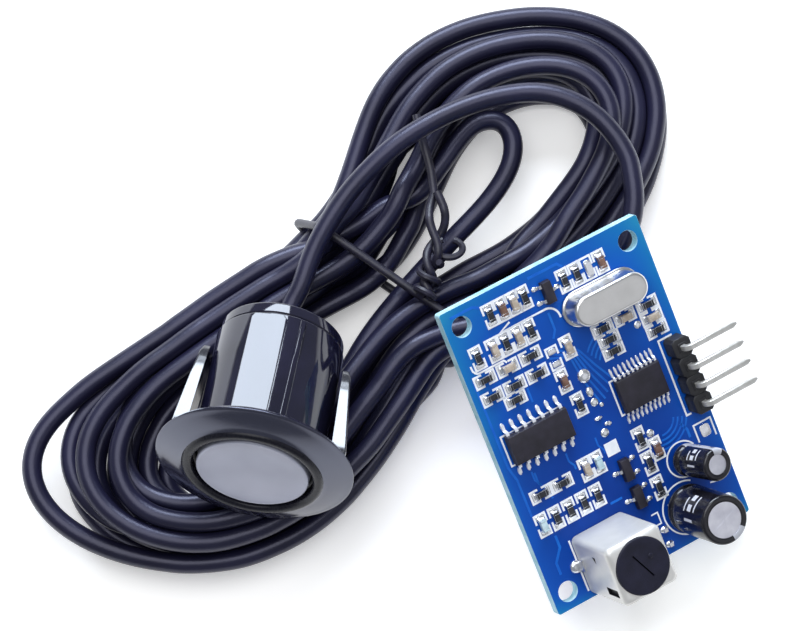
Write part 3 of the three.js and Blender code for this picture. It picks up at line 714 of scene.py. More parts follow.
def resample(points, step):
    """Points at even steps along a line."""
    points = np.asarray(points, float)
    gaps = np.linalg.norm(np.diff(points, axis=0), axis=1)
    along = np.concatenate([[0], np.cumsum(gaps)])
    wanted = np.linspace(0, along[-1], max(2, round(along[-1] / step) + 1))
    return np.stack([np.interp(wanted, along, points[:, k]) for k in range(points.shape[1])], 1)


def places_of(turn):
    """Where a turn lies across the band at each of its stations, from 0 outside to 1 inside."""
    golden = 0.618034
    upper = 0.02 + 0.96 * ((0.20 + golden * turn) % 1.0)
    waist = 0.10 + 0.80 * ((0.41 + golden * turn) % 1.0)
    lower = 0.24 + 0.64 * ((0.62 + golden * turn) % 1.0)
    if turn == OUTLYING_TURN:
        lower = -0.02
    if turn == INLYING_TURN:
        lower = 1.10
    if turn == SHORT_TURN:
        return 0.95, 0.95, 0.95, 0.95, lower, lower, lower
    return upper, upper, upper, waist, lower, lower, lower


def wound_line():
    """The turns seen from above, with a height that falls from the first turn to the last."""
    stations = len(HANK_STATIONS)
    at = [turn * stations + key for turn in range(TURNS + 2) for key in PLACED_AT]
    across = [place for turn in range(TURNS + 2) for place in places_of(turn)]
    s = np.arange(FIRST_STATION, TURNS * stations + LAST_STATION, 0.1)
    window = np.hanning(41)
    spread = np.convolve(
        np.pad(np.interp(s, at, across), 20, mode="edge"), window / window.sum(), mode="valid"
    )
    outer = periodic([pair[0] for pair in HANK_STATIONS], s % stations)
    inner = periodic([pair[1] for pair in HANK_STATIONS], s % stations)
    turns_left = TURNS - (s - FIRST_STATION) / stations
    line = np.column_stack([outer + (inner - outer) * spread[:, None], 3.0 + 1.5 * turns_left])
    leave, rejoin = np.searchsorted(s, (SHORT_TURN * stations + 0.4, SHORT_TURN * stations + 15.6))
    loop = smooth_line(
        [tuple(line[leave])] + [(x, y, line[leave, 2]) for x, y in SHORT_LOOP] + [tuple(line[rejoin])]
    )
    return np.vstack([line[:leave], loop, line[rejoin:]])


def near_pairs(points, reach):
    """Segments that may touch, leaving out a strand's own neighbours."""
    middles = ((points[1:] + points[:-1]) / 2).astype(np.float32)
    squares = (middles * middles).sum(1)
    apart = squares[:, None] + squares[None, :] - 2 * middles @ middles.T
    return np.nonzero(np.triu(apart < reach * reach, 6))


def closest(points, first, second):
    """Where pairs of segments come closest: the two parameters, and the vector between them."""
    p, q = points[first], points[second]
    u, v, w = points[first + 1] - p, points[second + 1] - q, p - q
    uu, uv, vv = (u * u).sum(1), (u * v).sum(1), (v * v).sum(1)
    uw, vw = (u * w).sum(1), (v * w).sum(1)
    room = uu * vv - uv * uv
    s = np.clip(np.where(room > 1e-9, (uv * vw - vv * uw) / np.maximum(room, 1e-9), 0.5), 0, 1)
    t = np.clip((uv * s + vw) / vv, 0, 1)
    s = np.clip((uv * t - uw) / uu, 0, 1)
    return s, t, w + u * s[:, None] - v * t[:, None]


def in_frame_array(points, change):
    turn, shift = change
    return points @ turn.T + shift


# What strands stay out of round the probe: a radius, and the heights between which it holds.
BARREL_ROOM = (9.35, -21, 1.3)
FLANGE_ROOM = (13.4, -2.9, 1.5)
WING_ROOM = (12.2, -15.8, -1)
WING_ROOM_HALF = 4.6


def keep_off_probe(points, free, into_probe, out_of_probe):
    """Push strands out of the space that the probe's barrel, flange and wings take."""
    local = in_frame_array(points, into_probe)
    x, y, z = local.T
    radial = np.hypot(x, y)
    limit = np.zeros(len(points))
    beside_wing = (np.abs(y) < WING_ROOM_HALF) & (np.abs(x) > np.abs(y))
    for (radius, low, high), where in ((BARREL_ROOM, True), (FLANGE_ROOM, True), (WING_ROOM, beside_wing)):
        limit = np.where((z > low) & (z < high) & where, np.maximum(limit, radius), limit)
    hit = free & (radial < limit)
    if hit.any():
        scale = 1 + 0.3 * (limit[hit] - radial[hit]) / np.maximum(radial[hit], 1e-6)
        local[hit, 0] *= scale
        local[hit, 1] *= scale
        points[hit] = in_frame_array(local[hit], out_of_probe)
    return points


# Rounds of relaxing. The last ones close the gaps.
SETTLE_ROUNDS = 620
CLOSING_ROUNDS = 120
FALL = 0.10
CLOSING_FALL = 0.012
BACK_TO_ROUTE = 0.012
# The tie presses the strands that pass through it down to this height.
TIE_TOP = 8.7


def settle(points, free, rounds):
    """Let the wound strands fall on the table and on each other, each kept near its own route."""
    guide = points[:, :2].copy()
    rest = np.linalg.norm(np.diff(guide, axis=0), axis=1)
    loose = free.astype(float)
    change = np.array(LAYOUT.inverted() @ PROBE)
    out_of_probe = change[:3, :3], change[:3, 3]
    back = np.array(PROBE.inverted() @ LAYOUT)
    into_probe = back[:3, :3], back[:3, 3]
    diameter = 2 * CABLE_RADIUS
    for number in range(rounds):
        closing = number > rounds - CLOSING_ROUNDS
        if number % 12 == 0:
            first, second = near_pairs(points, 2 * diameter)
        points[:, 2] -= (CLOSING_FALL if closing else FALL) * loose
        strain = np.column_stack([points[:, :2] - guide, points[:, 2]])
        calm = strain.copy()
        for span, amount in ((1, 0.3), (4, 0.25), (10, 0.2)):
            calm[span:-span] += amount * ((strain[2 * span:] + strain[:-2 * span]) / 2 - strain[span:-span])
        points += (calm - strain) * loose[:, None] * (0.5 if closing else 1.0)
        points[:, :2] += (guide - points[:, :2]) * BACK_TO_ROUTE * loose[:, None]
        for _ in range(2):
            s, t, gap = closest(points, first, second)
            apart = np.linalg.norm(gap, axis=1)
            hit = apart < diameter
            push = gap[hit] / np.maximum(apart[hit], 1e-4)[:, None] * ((diameter - apart[hit]) / 2)[:, None]
            move, count = np.zeros_like(points), np.zeros(len(points))
            a, b, s, t = first[hit], second[hit], s[hit], t[hit]
            for index, weight, sign in ((a, 1 - s, 1), (a + 1, s, 1), (b, 1 - t, -1), (b + 1, t, -1)):
                np.add.at(move, index, sign * push * weight[:, None])
                np.add.at(count, index, weight)
            points += move * loose[:, None] / np.maximum(count, 1)[:, None] * 1.3
        link = points[1:] - points[:-1]
        length = np.linalg.norm(link, axis=1)
        pull = link * ((length - rest) / length * 0.25)[:, None]
        points[:-1] += pull * loose[:-1, None]
        points[1:] -= pull * loose[1:, None]
        points = keep_off_probe(points, free, into_probe, out_of_probe)
        off = np.abs((points[:, :2] - TIE_FROM) @ TIE_NORMAL)
        low = np.where(off < 2.0, CABLE_RADIUS + 2 * TIE_RADIUS + 0.1, CABLE_RADIUS + 0.1)
        high = np.where(off < 3.0, TIE_TOP, 40.0)
        points[:, 2] = np.where(free, np.clip(points[:, 2], low, high), points[:, 2])
    return points


def eased(points, chosen, amount, rounds, axes):
    """Draw some of a line's points towards the middle of their neighbours."""
    for _ in range(rounds):
        pull = ((points[2:] + points[:-2]) / 2 - points[1:-1])[:, :axes] * amount
        points[1:-1, :axes] += np.where(chosen[1:-1, None], pull, 0)
    return points


def length_of(line):
    return np.linalg.norm(np.diff(line, axis=0), axis=1).sum()


def cable_line():
    """The centreline of the whole cable, from the gland to where its sheath is stripped."""
    gland = in_frame(PROBE, [(0, 0, -21.2), (0, 0, -23.6)])
    lead = smooth_line(gland + LEAD_POINTS)
    tail = smooth_line(TAIL_POINTS)
    points = resample(np.vstack([lead, wound_line()[10:-15], tail]), STEP)
    along = np.arange(len(points)) * STEP
    lead_end, tail_start = length_of(lead), along[-1] - length_of(tail)
    free = (along > lead_end - 12) & (along < tail_start + 6)
    points = settle(eased(points, free, 0.5, 12, 2), free, SETTLE_ROUNDS)
    # The sheath is stiff, so the lead comes down into the hank in an easy bend.
    return eased(points, np.abs(along - lead_end) < 20, 0.4, 10, 3)


CABLE = cable_line()


def make_cable():
    fine = smooth_line(CABLE, 2)
    bm = bmesh.new()
    tube(bm, fine, CABLE_RADIUS, 16)
    return piece(
        "cable", bm, LAYOUT, SHEATH, replaces=("cable_lead", "cable_hank", "cable_tail"),
    )


def bends_left(a, b, c):
    return (b[0] - a[0]) * (c[1] - a[1]) > (b[1] - a[1]) * (c[0] - a[0])


def hull_of(points):
    """The corners of the outline round some flat points, anticlockwise."""
    points = sorted(map(tuple, points))
    halves = []
    for ordered in (points, points[::-1]):
        half = []
        for p in ordered:
            while len(half) > 1 and not bends_left(half[-2], half[-1], p):
                half.pop()
            half.append(p)
        halves += half[:-1]
    return np.array(halves)


def tie_loop():
    """The tie's wire, drawn tight round every strand that crosses its plane."""
    wound = CABLE[60:-20]
    flat = wound[:, :2] - TIE_FROM
    near = np.abs(flat @ TIE_NORMAL) < 1.7
    centres = np.column_stack([(flat @ TIE_ALONG)[near], wound[near, 2]])
    reach = CABLE_RADIUS + TIE_RADIUS + 0.08
    turns = np.linspace(0, 2 * math.pi, 32, endpoint=False)
    ring = np.column_stack([np.cos(turns), np.sin(turns)]) * reach
    outline = hull_of((centres[:, None, :] + ring[None]).reshape(-1, 2))
    loop = resample(np.vstack([outline, outline[:1]]), 0.5)[:-1]
    loop[:, 1] = np.maximum(loop[:, 1], TIE_RADIUS + 0.05)
    return np.column_stack([TIE_FROM + loop[:, :1] * TIE_ALONG, loop[:, 1]])


def twisted(line, radius, pitch, phase):
    """A line that winds round another line."""
    line = np.asarray(line, float)
    rights, ups = frames_along(line)
    gaps = np.linalg.norm(np.diff(line, axis=0), axis=1)
    turn = 2 * math.pi * np.concatenate([[0], np.cumsum(gaps / pitch)]) + phase
    return line + radius * (np.cos(turn)[:, None] * rights + np.sin(turn)[:, None] * ups)


TIE_KNOT = np.array((3.1, 3.6))
TIE_TAIL = [(3.9, 8.0, 11.7), (4.6, 12.2, 11.9), (4.4, 16.5, 11.95)]


def make_tie():
    bm = bmesh.new()
    loop = tie_loop()
    tube(bm, loop, TIE_RADIUS, 10, closed=True)
    top = max(p[2] for p in loop if np.linalg.norm(p[:2] - TIE_KNOT) < 2.5)
    start = (*TIE_KNOT, top + 0.9)
    # The two ends are twisted together into a hard knot, then more and more loosely.
    spine = resample(smooth_line([start, (3.5, 5.6, top + 1.1)] + TIE_TAIL), 0.35)
    spine[:, 2] = np.minimum(spine[:, 2], 12.0)
    last = len(spine) - 1
    slack = np.interp(np.arange(len(spine)), [0, 8, 14, 22, last], [0.62, 0.55, 0.66, 1.15, 0.8])[:, None]
    pitch = np.interp(np.arange(last), [0, 10, 18, last], [4.4, 4.8, 11.0, 14.0])
    knot = spine[:14]
    for phase in (0.0, math.pi):
        wire = twisted(spine, 1.0, pitch, phase)
        wire = spine + (wire - spine) * slack
        if phase == 0.0:
            end = wire[-1]
            tip = smooth_line(
                [end, end + (-0.5, 3.4, -0.15), end + (-1.5, 7.0, -0.1), end + (-2.2, 10.0, 0.0)]
            )
            wire = np.vstack([wire, resample(tip, 0.6)[1:]])
        wire[:, 2] = np.clip(wire[:, 2], 0, 12.15)
        tube(bm, wire, TIE_RADIUS, 10)
    # A turn and a half of wire is wrapped round the knot, and a small loop stands out from it.
    wraps = twisted(resample(knot, 0.12), 1.28, 2.2, 0.4)
    tube(bm, wraps, TIE_RADIUS * 0.8, 8)
    side = np.array((*TIE_KNOT, top + 1.0)) + (1.0, 4.6, 0.2)
    turns = np.linspace(-0.6, 2 * math.pi - 1.4, 26)
    curl = np.column_stack(
        [1.9 + 1.75 * np.cos(turns + 2.6), 1.4 + 1.2 * np.sin(turns + 2.6), 0.25 * np.sin(turns)]
    )
    curl += side
    tube(bm, curl, TIE_RADIUS * 0.8, 8)
    return piece("cable_tie", bm, LAYOUT, TIE, replaces=("twist_tie",))


WIRE_LOOKS = {
    "red": ((0.34, 0.02, 0.015), (0.5, 0.04, 0.03), 1.0, 8.0, 0.01, (0.4, 0.5)),
    "white": ((0.6, 0.59, 0.55), (0.78, 0.77, 0.73), 1.0, 8.0, 0.01, (0.4, 0.5)),
}
# The plug's place on the board, and how far its middle hangs below the board's far side.
PLUG_MIDDLE = (11.2, 38.7)
PLUG_DROP = 2.15


def plug_wire(side):
    """The route of one core from the end of the sheath into the back of the plug."""
    x, y = spot(*PLUG_MIDDLE)
    back, row, level = x - 1.8, y + 0.8 * side, -BOARD_THICKNESS - PLUG_DROP
    last = in_frame(BOARD, [(back - 2.2, row, level), (back - 0.3, row, level)])
    return [
        (19.75 + 0.6 * side, -21.2, 2.1), (20.3 + 0.9 * side, -23.6, 2.9), (20.4 + 1.3 * side, -26.0, 4.2)
    ] + last


def make_plug_wires():
    made = []
    for side, part, colour in ((-1, "signal", "red"), (1, "return", "white")):
        bm = bmesh.new()
        tube(bm, resample(smooth_line(plug_wire(side)), 0.5), WIRE_RADIUS, 12)
        insulation = plain("wire_insulation_" + colour, *WIRE_LOOKS[colour])
        made.append(piece(
            "core_" + part, bm, LAYOUT, insulation, replaces=("plug_wire_" + part,),
        ))
    return made


def make_gland():
    """A short tapered sleeve with ribs, where the cable comes out of the rear cap."""
    bm = bmesh.new()
    profile = [(1.3, -20.9), (1.75, -20.85), (1.9, -20.6)]
    for rib in range(3):
        z = -20.35 + 0.42 * rib
        grow = 0.14 * rib
        profile += [
            (1.95 + 0.12 * rib, z), (2.2 + grow, z + 0.08), (2.22 + grow, z + 0.22), (2.0 + grow, z + 0.3)
        ]
    profile += [(2.3, -19.0), (1.3, -19.0)]
    turned(bm, profile, 32)
    return piece("gland_sleeve", bm, PROBE, RUBBER, replaces=("cable_gland",))


cable = make_cable()
tie = make_tie()
wires = make_plug_wires()
gland = make_gland()

# ---------------------------------------------------------------- the probe

FLANGE_RADIUS = 12.1
FLANGE_THICKNESS = 1.4
BARREL_RADIUS = 7.9
PROBE_LENGTH = 19.3


def make_housing():
    """Flange, raised bead and barrel in one moulding, open at the front for the sounding face."""
    bm = bmesh.new()
    z = -FLANGE_THICKNESS
    profile = [(7.1, -17.6), (BARREL_RADIUS - 0.25, -17.6)]
    profile += arc((BARREL_RADIUS - 0.25, -17.35), 0.25, -90, 0, 5)
    profile += [(BARREL_RADIUS, -12), (BARREL_RADIUS, -6), (BARREL_RADIUS, z - 0.4)]
    profile += arc((BARREL_RADIUS + 0.3, z - 0.3), 0.3, 180, 90, 5)
    profile += arc((FLANGE_RADIUS - 0.55, z + 0.12), 0.12, -90, -15, 3)
    profile += arc((FLANGE_RADIUS - 0.12, -0.82), 0.12, -15, 66, 4)
    profile += [
        (r, 0.40 - 0.27 * (r - 8.7) - 0.025 * (r - 8.7) ** 2) for r in (11.7, 11.1, 10.5, 9.9, 9.3, 8.8)
    ]
    profile += [
        (8.04 + 0.64 * math.cos(t), 0.38 + 0.55 * math.sin(t)) for t in np.linspace(0.12, math.pi - 0.3, 12)
    ]
    profile += [(7.42, 0.1), (7.40, -0.6), (7.1, -0.75)]
    turned(bm, profile, 96)
    for face in bm.faces:
        middle = face.calc_center_median()
        if math.hypot(middle.x, middle.y) > 8.7 and middle.z > z - 0.2:
            face.material_index = 1
        elif middle.z > -0.7:
            face.material_index = 2
    piece(
        "probe_moulding", bm, PROBE, [GLOSS, FLANGE_SATIN, RING_BLACK], replaces=("probe_housing",),
    )


def make_flat():
    """A raised flat along the barrel's top, bevelled on its right and clipped at its rear corners."""
    bm = bmesh.new()
    turn = math.radians(101.7)
    tangent, outward = (-math.sin(turn), math.cos(turn)), (math.cos(turn), math.sin(turn))
    section = [(2.15, 7.45), (2.15, 7.87), (2.07, 7.95), (-1.5, 7.95), (-2.2, 7.73), (-2.28, 7.45)]
    rings = []
    for h, narrow, sink in (
        (-17.34, 0.80, 0.12), (-17.26, 0.84, 0), (-16.75, 1, 0), (-9.0, 1, 0), (-1.45, 1, 0)
    ):
        lines = [(u * narrow, v - sink) for u, v in section]
        rings.append([tuple(u * a + v * b for a, b in zip(tangent, outward)) + (h,) for u, v in lines])
    bridge(bm, rings)
    piece("barrel_flat", bm, PROBE, GLOSS)


def make_guides():
    """Two narrow ridges along the barrel, taller at the rear."""
    bm = bmesh.new()
    for turn, half in ((71, 0.42), (-100, 0.55)):
        rings = []
        for h, rise in (
            (-17.2, -0.05), (-17.1, 0.3), (-16.7, 0.36), (-12.2, 0.34), (-11.6, 0.12), (-2.6, 0.12),
            (-2.1, -0.05)
        ):
            ring = []
            for a, lift in ((-1.0, -0.1), (-0.8, 0.7), (-0.5, 1.0), (0.5, 1.0), (0.8, 0.7), (1.0, -0.1)):
                r = BARREL_RADIUS + (rise * lift if rise > 0 else rise)
                t = math.radians(turn) + a * half / BARREL_RADIUS
                ring.append((r * math.cos(t), r * math.sin(t), h))
            rings.append(ring)
        bridge(bm, rings)
    piece("barrel_ridges", bm, PROBE, GLOSS)


def make_cap():
    """The rear cap: a band behind a fine groove, nearly as wide as the barrel, stepped inside its rim."""
    bm = bmesh.new()
    profile = [
        (1.9, -PROBE_LENGTH + 0.35), (5.9, -PROBE_LENGTH + 0.35), (6.1, -PROBE_LENGTH), (7.1, -PROBE_LENGTH)
    ]
    profile += arc((7.32, -PROBE_LENGTH + 0.3), 0.3, -80, 0, 5)
    profile += [(7.66, -17.9), (7.5, -17.72), (7.0, -17.72), (7.0, -17.3), (1.9, -17.3)]
    turned(bm, profile, 72)
    piece("rear_cover", bm, PROBE, GLOSS, replaces=("rear_cap",))


def make_sounding_face():
    """The aluminium cup's face: flat, satin, with a fine turned lip."""
    bm = bmesh.new()
    profile = [(0.0, 0.55), (2.0, 0.55), (4.4, 0.55), (6.2, 0.55), (6.32, 0.60)]
    profile += arc((6.62, 0.42), 0.26, 110, 0, 6)
    profile += [(6.9, 0.0), (6.9, -0.6), (6.4, -0.6), (6.4, -8.6), (5.8, -8.6), (5.8, -0.1), (0.0, -0.1)]
    lathe(bm, profile, 96)
    piece("sounding_face", bm, PROBE, FACE, replaces=("transducer_cup",))


# The wings' leaves, seen across the probe: where they start and end, and their two faces there.
WING_ENDS = (-14.6, -2.0)
WING_INNER = (8.2, 8.85)
WING_OUTER = (9.2, 10.75)
WING_HALF = 3.2
# Half the groove's width at its top and at its floor, and its depth.
WING_GROOVE = (0.95, 0.6, 0.28)
WING_STATIONS = 14


def between(ends, part):
    return ends[0] + (ends[1] - ends[0]) * part


def make_wing(side, body, node):
    """A sprung wing: a thin leaf, thickest at its catch beside the flange, grooved down its back."""
    soft = 0.14
    groove_top, groove_floor, groove_depth = WING_GROOVE
    bm = bmesh.new()
    rings = []
    for k in range(WING_STATIONS):
        part = k / (WING_STATIONS - 1)
        inner, outer = between(WING_INNER, part), between(WING_OUTER, part)
        half = WING_HALF * (0.80 + 0.20 * min(1.0, part * 3))
        if k in (0, WING_STATIONS - 1):
            outer -= 0.22
            half -= 0.22
        brink = outer - soft
        # Extra corners beside each rounded edge keep the flats flat under smooth shading.
        profile = [
            (inner, half), (brink - 0.1, half), (brink, half), (outer - 0.04, half - 0.04),
            (outer, half - soft), (outer, groove_top), (outer - groove_depth, groove_floor),
        ]
        ring = [(x, -y) for x, y in profile] + profile[::-1]
        rings.append([(side * x, y, between(WING_ENDS, part)) for x, y in ring])
    bridge(bm, rings)
    piece(body + "_leaf", bm, PROBE, WING_GLOSS, body=body, replaces=(node,))


make_housing()
make_flat()
make_guides()
make_cap()
make_sounding_face()
make_wing(-1, "left_wing", "retaining_wing_left")
make_wing(1, "right_wing", "retaining_wing_right")

# ---------------------------------------------------------------- the board

HOLES = [(2.25, 2.55), (26.25, 2.55), (2.25, 38.75), (26.25, 38.75)]
HOLE_RADIUS = 1.3


def make_laminate():
    """The board: a rectangle with four drilled holes, masked on both faces and pale at its cut edge."""
    bm = bmesh.new()
    corner = rounded_outline(
        -BOARD_WIDTH / 2, -BOARD_HEIGHT / 2, BOARD_WIDTH / 2, BOARD_HEIGHT / 2, 0.35, 5
    )
    loops = [corner] + [arc(spot(*hole), HOLE_RADIUS, 0, 360 - 360 / 40, 40) for hole in HOLES]
    edges = []
    for loop in loops:
        verts = [bm.verts.new((x, y, 0)) for x, y in loop]
        edges += [bm.edges.new((a, verts[(k + 1) % len(verts)])) for k, a in enumerate(verts)]
    bmesh.ops.triangle_fill(bm, edges=edges, use_beauty=True, use_dissolve=False)
    top = list(bm.faces)
    down = bmesh.ops.extrude_face_region(bm, geom=top)["geom"]
    bmesh.ops.translate(
        bm, vec=(0, 0, -BOARD_THICKNESS), verts=[v for v in down if isinstance(v, bmesh.types.BMVert)]
    )
    bm.normal_update()
    for face in bm.faces:
        face.material_index = 0 if abs(face.normal.z) > 0.7 else 1
    made = piece(
        "board_laminate", bm, BOARD, [MASK, LAMINATE], replaces=("circuit_board",),
        smooth=False
    )
    bevel = made.modifiers.new("edge", "BEVEL")
    bevel.width = 0.05
    bevel.segments = 1
    bevel.limit_method = "ANGLE"
    bevel.angle_limit = math.radians(60)
    bevel.material = 1


SILK_LOW, SILK_HIGH = 0.012, 0.045
TRACE_LOW, TRACE_HIGH = -0.01, 0.022


def on_board(points):
    return [spot(*p) for p in points]


# Tracks: the width of each, and its corners in the board's (right, down) measure.
TRACKS = [
    (0.26, [(3.9, 23.2), (3.9, 24.6), (4.9, 26.2), (4.9, 27.2)]),
    (0.26, [(7.1, 13.2), (7.1, 15.1)]),
    (0.3, [(1.0, 9.4), (1.0, 21.0), (1.5, 23.0), (1.5, 28.0)]),
    (0.3, [(13.2, 6.0), (13.2, 8.3), (12.6, 9.2)]),
    (0.34, [(3.4, 31.6), (3.4, 33.2), (2.2, 34.8), (2.2, 36.4)]),
    (0.3, [(13.3, 31.4), (11.6, 31.4)]),
    (0.34, [(24.0, 26.5), (24.6, 27.6), (24.6, 28.7)]),
    (0.34, [(1.2, 1.0), (4.4, 1.0), (5.2, 1.5)]),
    (0.34, [(12.3, 1.0), (16.5, 1.0), (17.1, 1.7)]),
]


def make_copper():
    """Tracks that show as low ridges under the mask."""
    bm = bmesh.new()
    tracks = []
    # Runs from the small controller towards the middle and up, side by side.
    for k in range(5):
        g = 0.62 * k
        tracks.append((0.26, [
            (17.9 - g, 17.2 + g), (16.4 - g * 0.9, 14.6 + g * 0.4), (15.2 - g * 0.6, 12.2),
            (13.6 - g, 10.0 + 0.3 * k),
        ]))
    for k in range(4):
        tracks.append((0.24, arc((19.8, 15.6), 2.9 + 0.6 * k, 205 + 4 * k, 285, 12)))
    for k in range(4):
        tracks.append((0.24, arc((21.4, 24.6), 2.2 + 0.6 * k, 20, 95 + 6 * k, 12)))
    for x in (3.6, 8.6, 12.9):
        tracks.append((0.24, [(x, 22.9), (x, 24.0), (x + 0.5, 24.8), (x + 0.5, 25.3)]))
    for width, corners in tracks + TRACKS:
        ribbon(bm, on_board(corners), width, TRACE_LOW, TRACE_HIGH)
    piece("copper_tracks", bm, BOARD, TRACES, smooth=False)


UPRIGHT = "upright"
LYING = "lying"
# Small two-ended parts, row by row: how far down the board the row is, whether its parts stand along
# the board or lie across it, where each is and its kind, and the CAD chips that the row stands for.
SMALL_PART_ROWS = [
    (2.90, UPRIGHT, [(6.10, "resistor"), (7.80, "brown"), (9.45, "tan"), (11.0, "resistor")],
     "chip_top_left_", "1234"),
    (3.27, UPRIGHT, [(16.6, "resistor"), (18.4, "resistor"), (21.9, "brown")], "chip_top_right_", "124"),
    (6.96, UPRIGHT, [(2.60, "resistor"), (4.90, "tan"), (6.65, "resistor"), (8.40, "tan"),
                     (10.2, "resistor")]),
    (10.98, UPRIGHT, [(13.9, "tan")]),
    (14.56, UPRIGHT, [(11.75, "brown")]),
    (18.17, UPRIGHT, [(12.56, "resistor")]),
    (25.9, UPRIGHT, [(10.3, "tan"), (12.04, "pale")]),
    (25.75, UPRIGHT, [(18.3, "resistor")]),
    (27.9, UPRIGHT, [(19.9, "brown")]),
    (29.1, UPRIGHT, [(18.3, "resistor")]),
    (32.5, UPRIGHT, [(18.3, "resistor")]),
    (29.6, UPRIGHT, [(2.40, "pale")] + [(right, "resistor") for right in (4.40, 6.40, 8.40, 10.4)],
     "chip_lower_left_", "12345"),
    (9.75, LYING, [(2.50, "resistor"), (5.75, "tan"), (9.0, "resistor")]),
    (12.15, LYING, [(2.55, "resistor"), (5.75, "resistor"), (9.0, "resistor")]),
    (13.77, LYING, [(5.17, "resistor")]),
    (26.0, LYING, [(3.69, "resistor"), (6.73, "resistor")]),
    (10.96, LYING, [(19.0, "resistor"), (22.25, "tan")]),
    (10.85, LYING, [(25.6, "resistor")]),
    (12.56, LYING, [(25.6, "tan")]),
    (14.33, LYING, [(25.65, "resistor")]),
    (12.56, LYING, [(19.3, "resistor")]),
    (14.1, LYING, [(19.3, "resistor")]),
]
SMALL_PARTS = [
    (right, down, lie, kind, (stands_for[0] + stands_for[1][k],) if stands_for else ())
    for down, lie, parts, *stands_for in SMALL_PART_ROWS for k, (right, kind) in enumerate(parts)
]
# Boxes in white ink with nothing, or only solder, in them.
BARE_BOXES = [(20.06, 3.27, UPRIGHT), (11.75, 11.4, UPRIGHT)]
CHIP_LENGTH = 1.6
CHIP_WIDTH = 0.82
CHIP_CAP = 0.36
CHIP_LOW = 0.06
# The brackets of white ink round each part. The gap is half of what is open at its middle.
INK_HALF_LENGTH = 1.40
INK_HALF_WIDTH = 0.74
INK_GAP = 0.28
INK_WIDTH = 0.27


def laid(lie, u, v):
    """A small part's own (along, across), in the board's frame."""
    return (u, v) if lie == LYING else (-v, u)


def make_small_parts():
    bodies = {"resistor": RESISTOR, "tan": TAN, "brown": BROWN, "pale": CYAN}
    half, wide = CHIP_LENGTH / 2, CHIP_WIDTH / 2
    for number, (right, down, lie, kind, nodes) in enumerate(SMALL_PARTS, 1):
        bm = bmesh.new()
        tall = 0.5 if kind == "resistor" else 0.78

        def lay(u0, u1, v, z0, z1, bevel, index):
            """A box from u0 to u1 along the part, and v to either side."""
            a, b = laid(lie, u0, -v), laid(lie, u1, v)
            block(
                bm, (min(a[0], b[0]), min(a[1], b[1]), z0), (max(a[0], b[0]), max(a[1], b[1]), z1), bevel,
                2, index
            )

        if kind == "resistor":
            lay(-half + 0.14, half - 0.14, wide - 0.02, CHIP_LOW, tall - 0.09, 0.02, 2)
            lay(-half + 0.30, half - 0.30, wide - 0.05, tall - 0.1, tall, 0.03, 0)
        else:
            lay(-half + 0.14, half - 0.14, wide - 0.01, CHIP_LOW, tall, 0.06, 0)
        for u in (-half, half - CHIP_CAP):
            lay(u, u + CHIP_CAP, wide + 0.015, CHIP_LOW - 0.03, tall + 0.015, 0.05, 1)
        # Solder wicks up each end and spreads over its pad.
        for side in (-1, 1):
            rings = []
            for out, up in ((0.0, 0.52), (0.10, 0.30), (0.24, 0.13), (0.42, 0.05)):
                section = [(wide + 0.10, 0.015), (wide * 0.75, tall * up)]
                section = [(-v, z) for v, z in section] + section[::-1]
                rings.append([(*laid(lie, side * (half - 0.02 + out), v), z) for v, z in section])
            bridge(bm, rings, index=1)
        bmesh.ops.translate(bm, vec=(*spot(right, down), 0), verts=bm.verts)
        name = "small_part_" + str(number).zfill(2)
        piece(name, bm, BOARD, [bodies[kind], SOLDER, ALUMINA], replaces=nodes)


# Other lines in white ink: the width of each, and its corners in the board's (right, down) measure.
INK_LINES = [
    (0.26, [(8.1, 4.75), (6.5, 5.42), (12.9, 5.42)] + arc((12.9, 7.0), 1.6, -84, -4, 7) + [(14.5, 7.2)]),
    (0.24, [(1.35, 7.5), (1.42, 8.2)] + arc((2.1, 8.1), 0.62, 165, 95, 4) + [(5.6, 8.72), (5.9, 9.1)]),
    (0.22, [(2.35, 17.15), (1.54, 17.15), (1.54, 21.1), (2.1, 21.1)]),
    (0.16, [(2.4, 17.15), (10.4, 17.15)]),
    (0.22, [(18.0, 17.45), (17.25, 17.45), (17.25, 22.06), (17.7, 22.06)]),
    (0.14, [(17.9, 17.45), (24.1, 17.45)]),
    (0.24, [(27.2, 15.75), (25.2, 15.75), (25.2, 26.0), (25.9, 26.0)]),
    (0.22, [(25.5, 29.9), (25.5, 27.6), (28.0, 27.6), (28.0, 30.0)]),
    (0.2, arc((22.7, 30.8), 2.28, 60, 330, 30)),
    (0.2, arc((20.85, 36.6), 3.38, 90, 300, 32)),
    (0.16, [(18.6, 35.1), (18.6, 37.4)]),
    (0.24, [(4.76, 33.0), (4.76, 40.0)]),
    (0.18, [(16.0, 35.3), (16.9, 35.3), (16.9, 36.8), (16.0, 36.8)]),
    (0.18, [(24.9, 35.2), (26.3, 35.5)]),
    (0.2, [(11.4, 12.9), (12.1, 12.9)]),
]


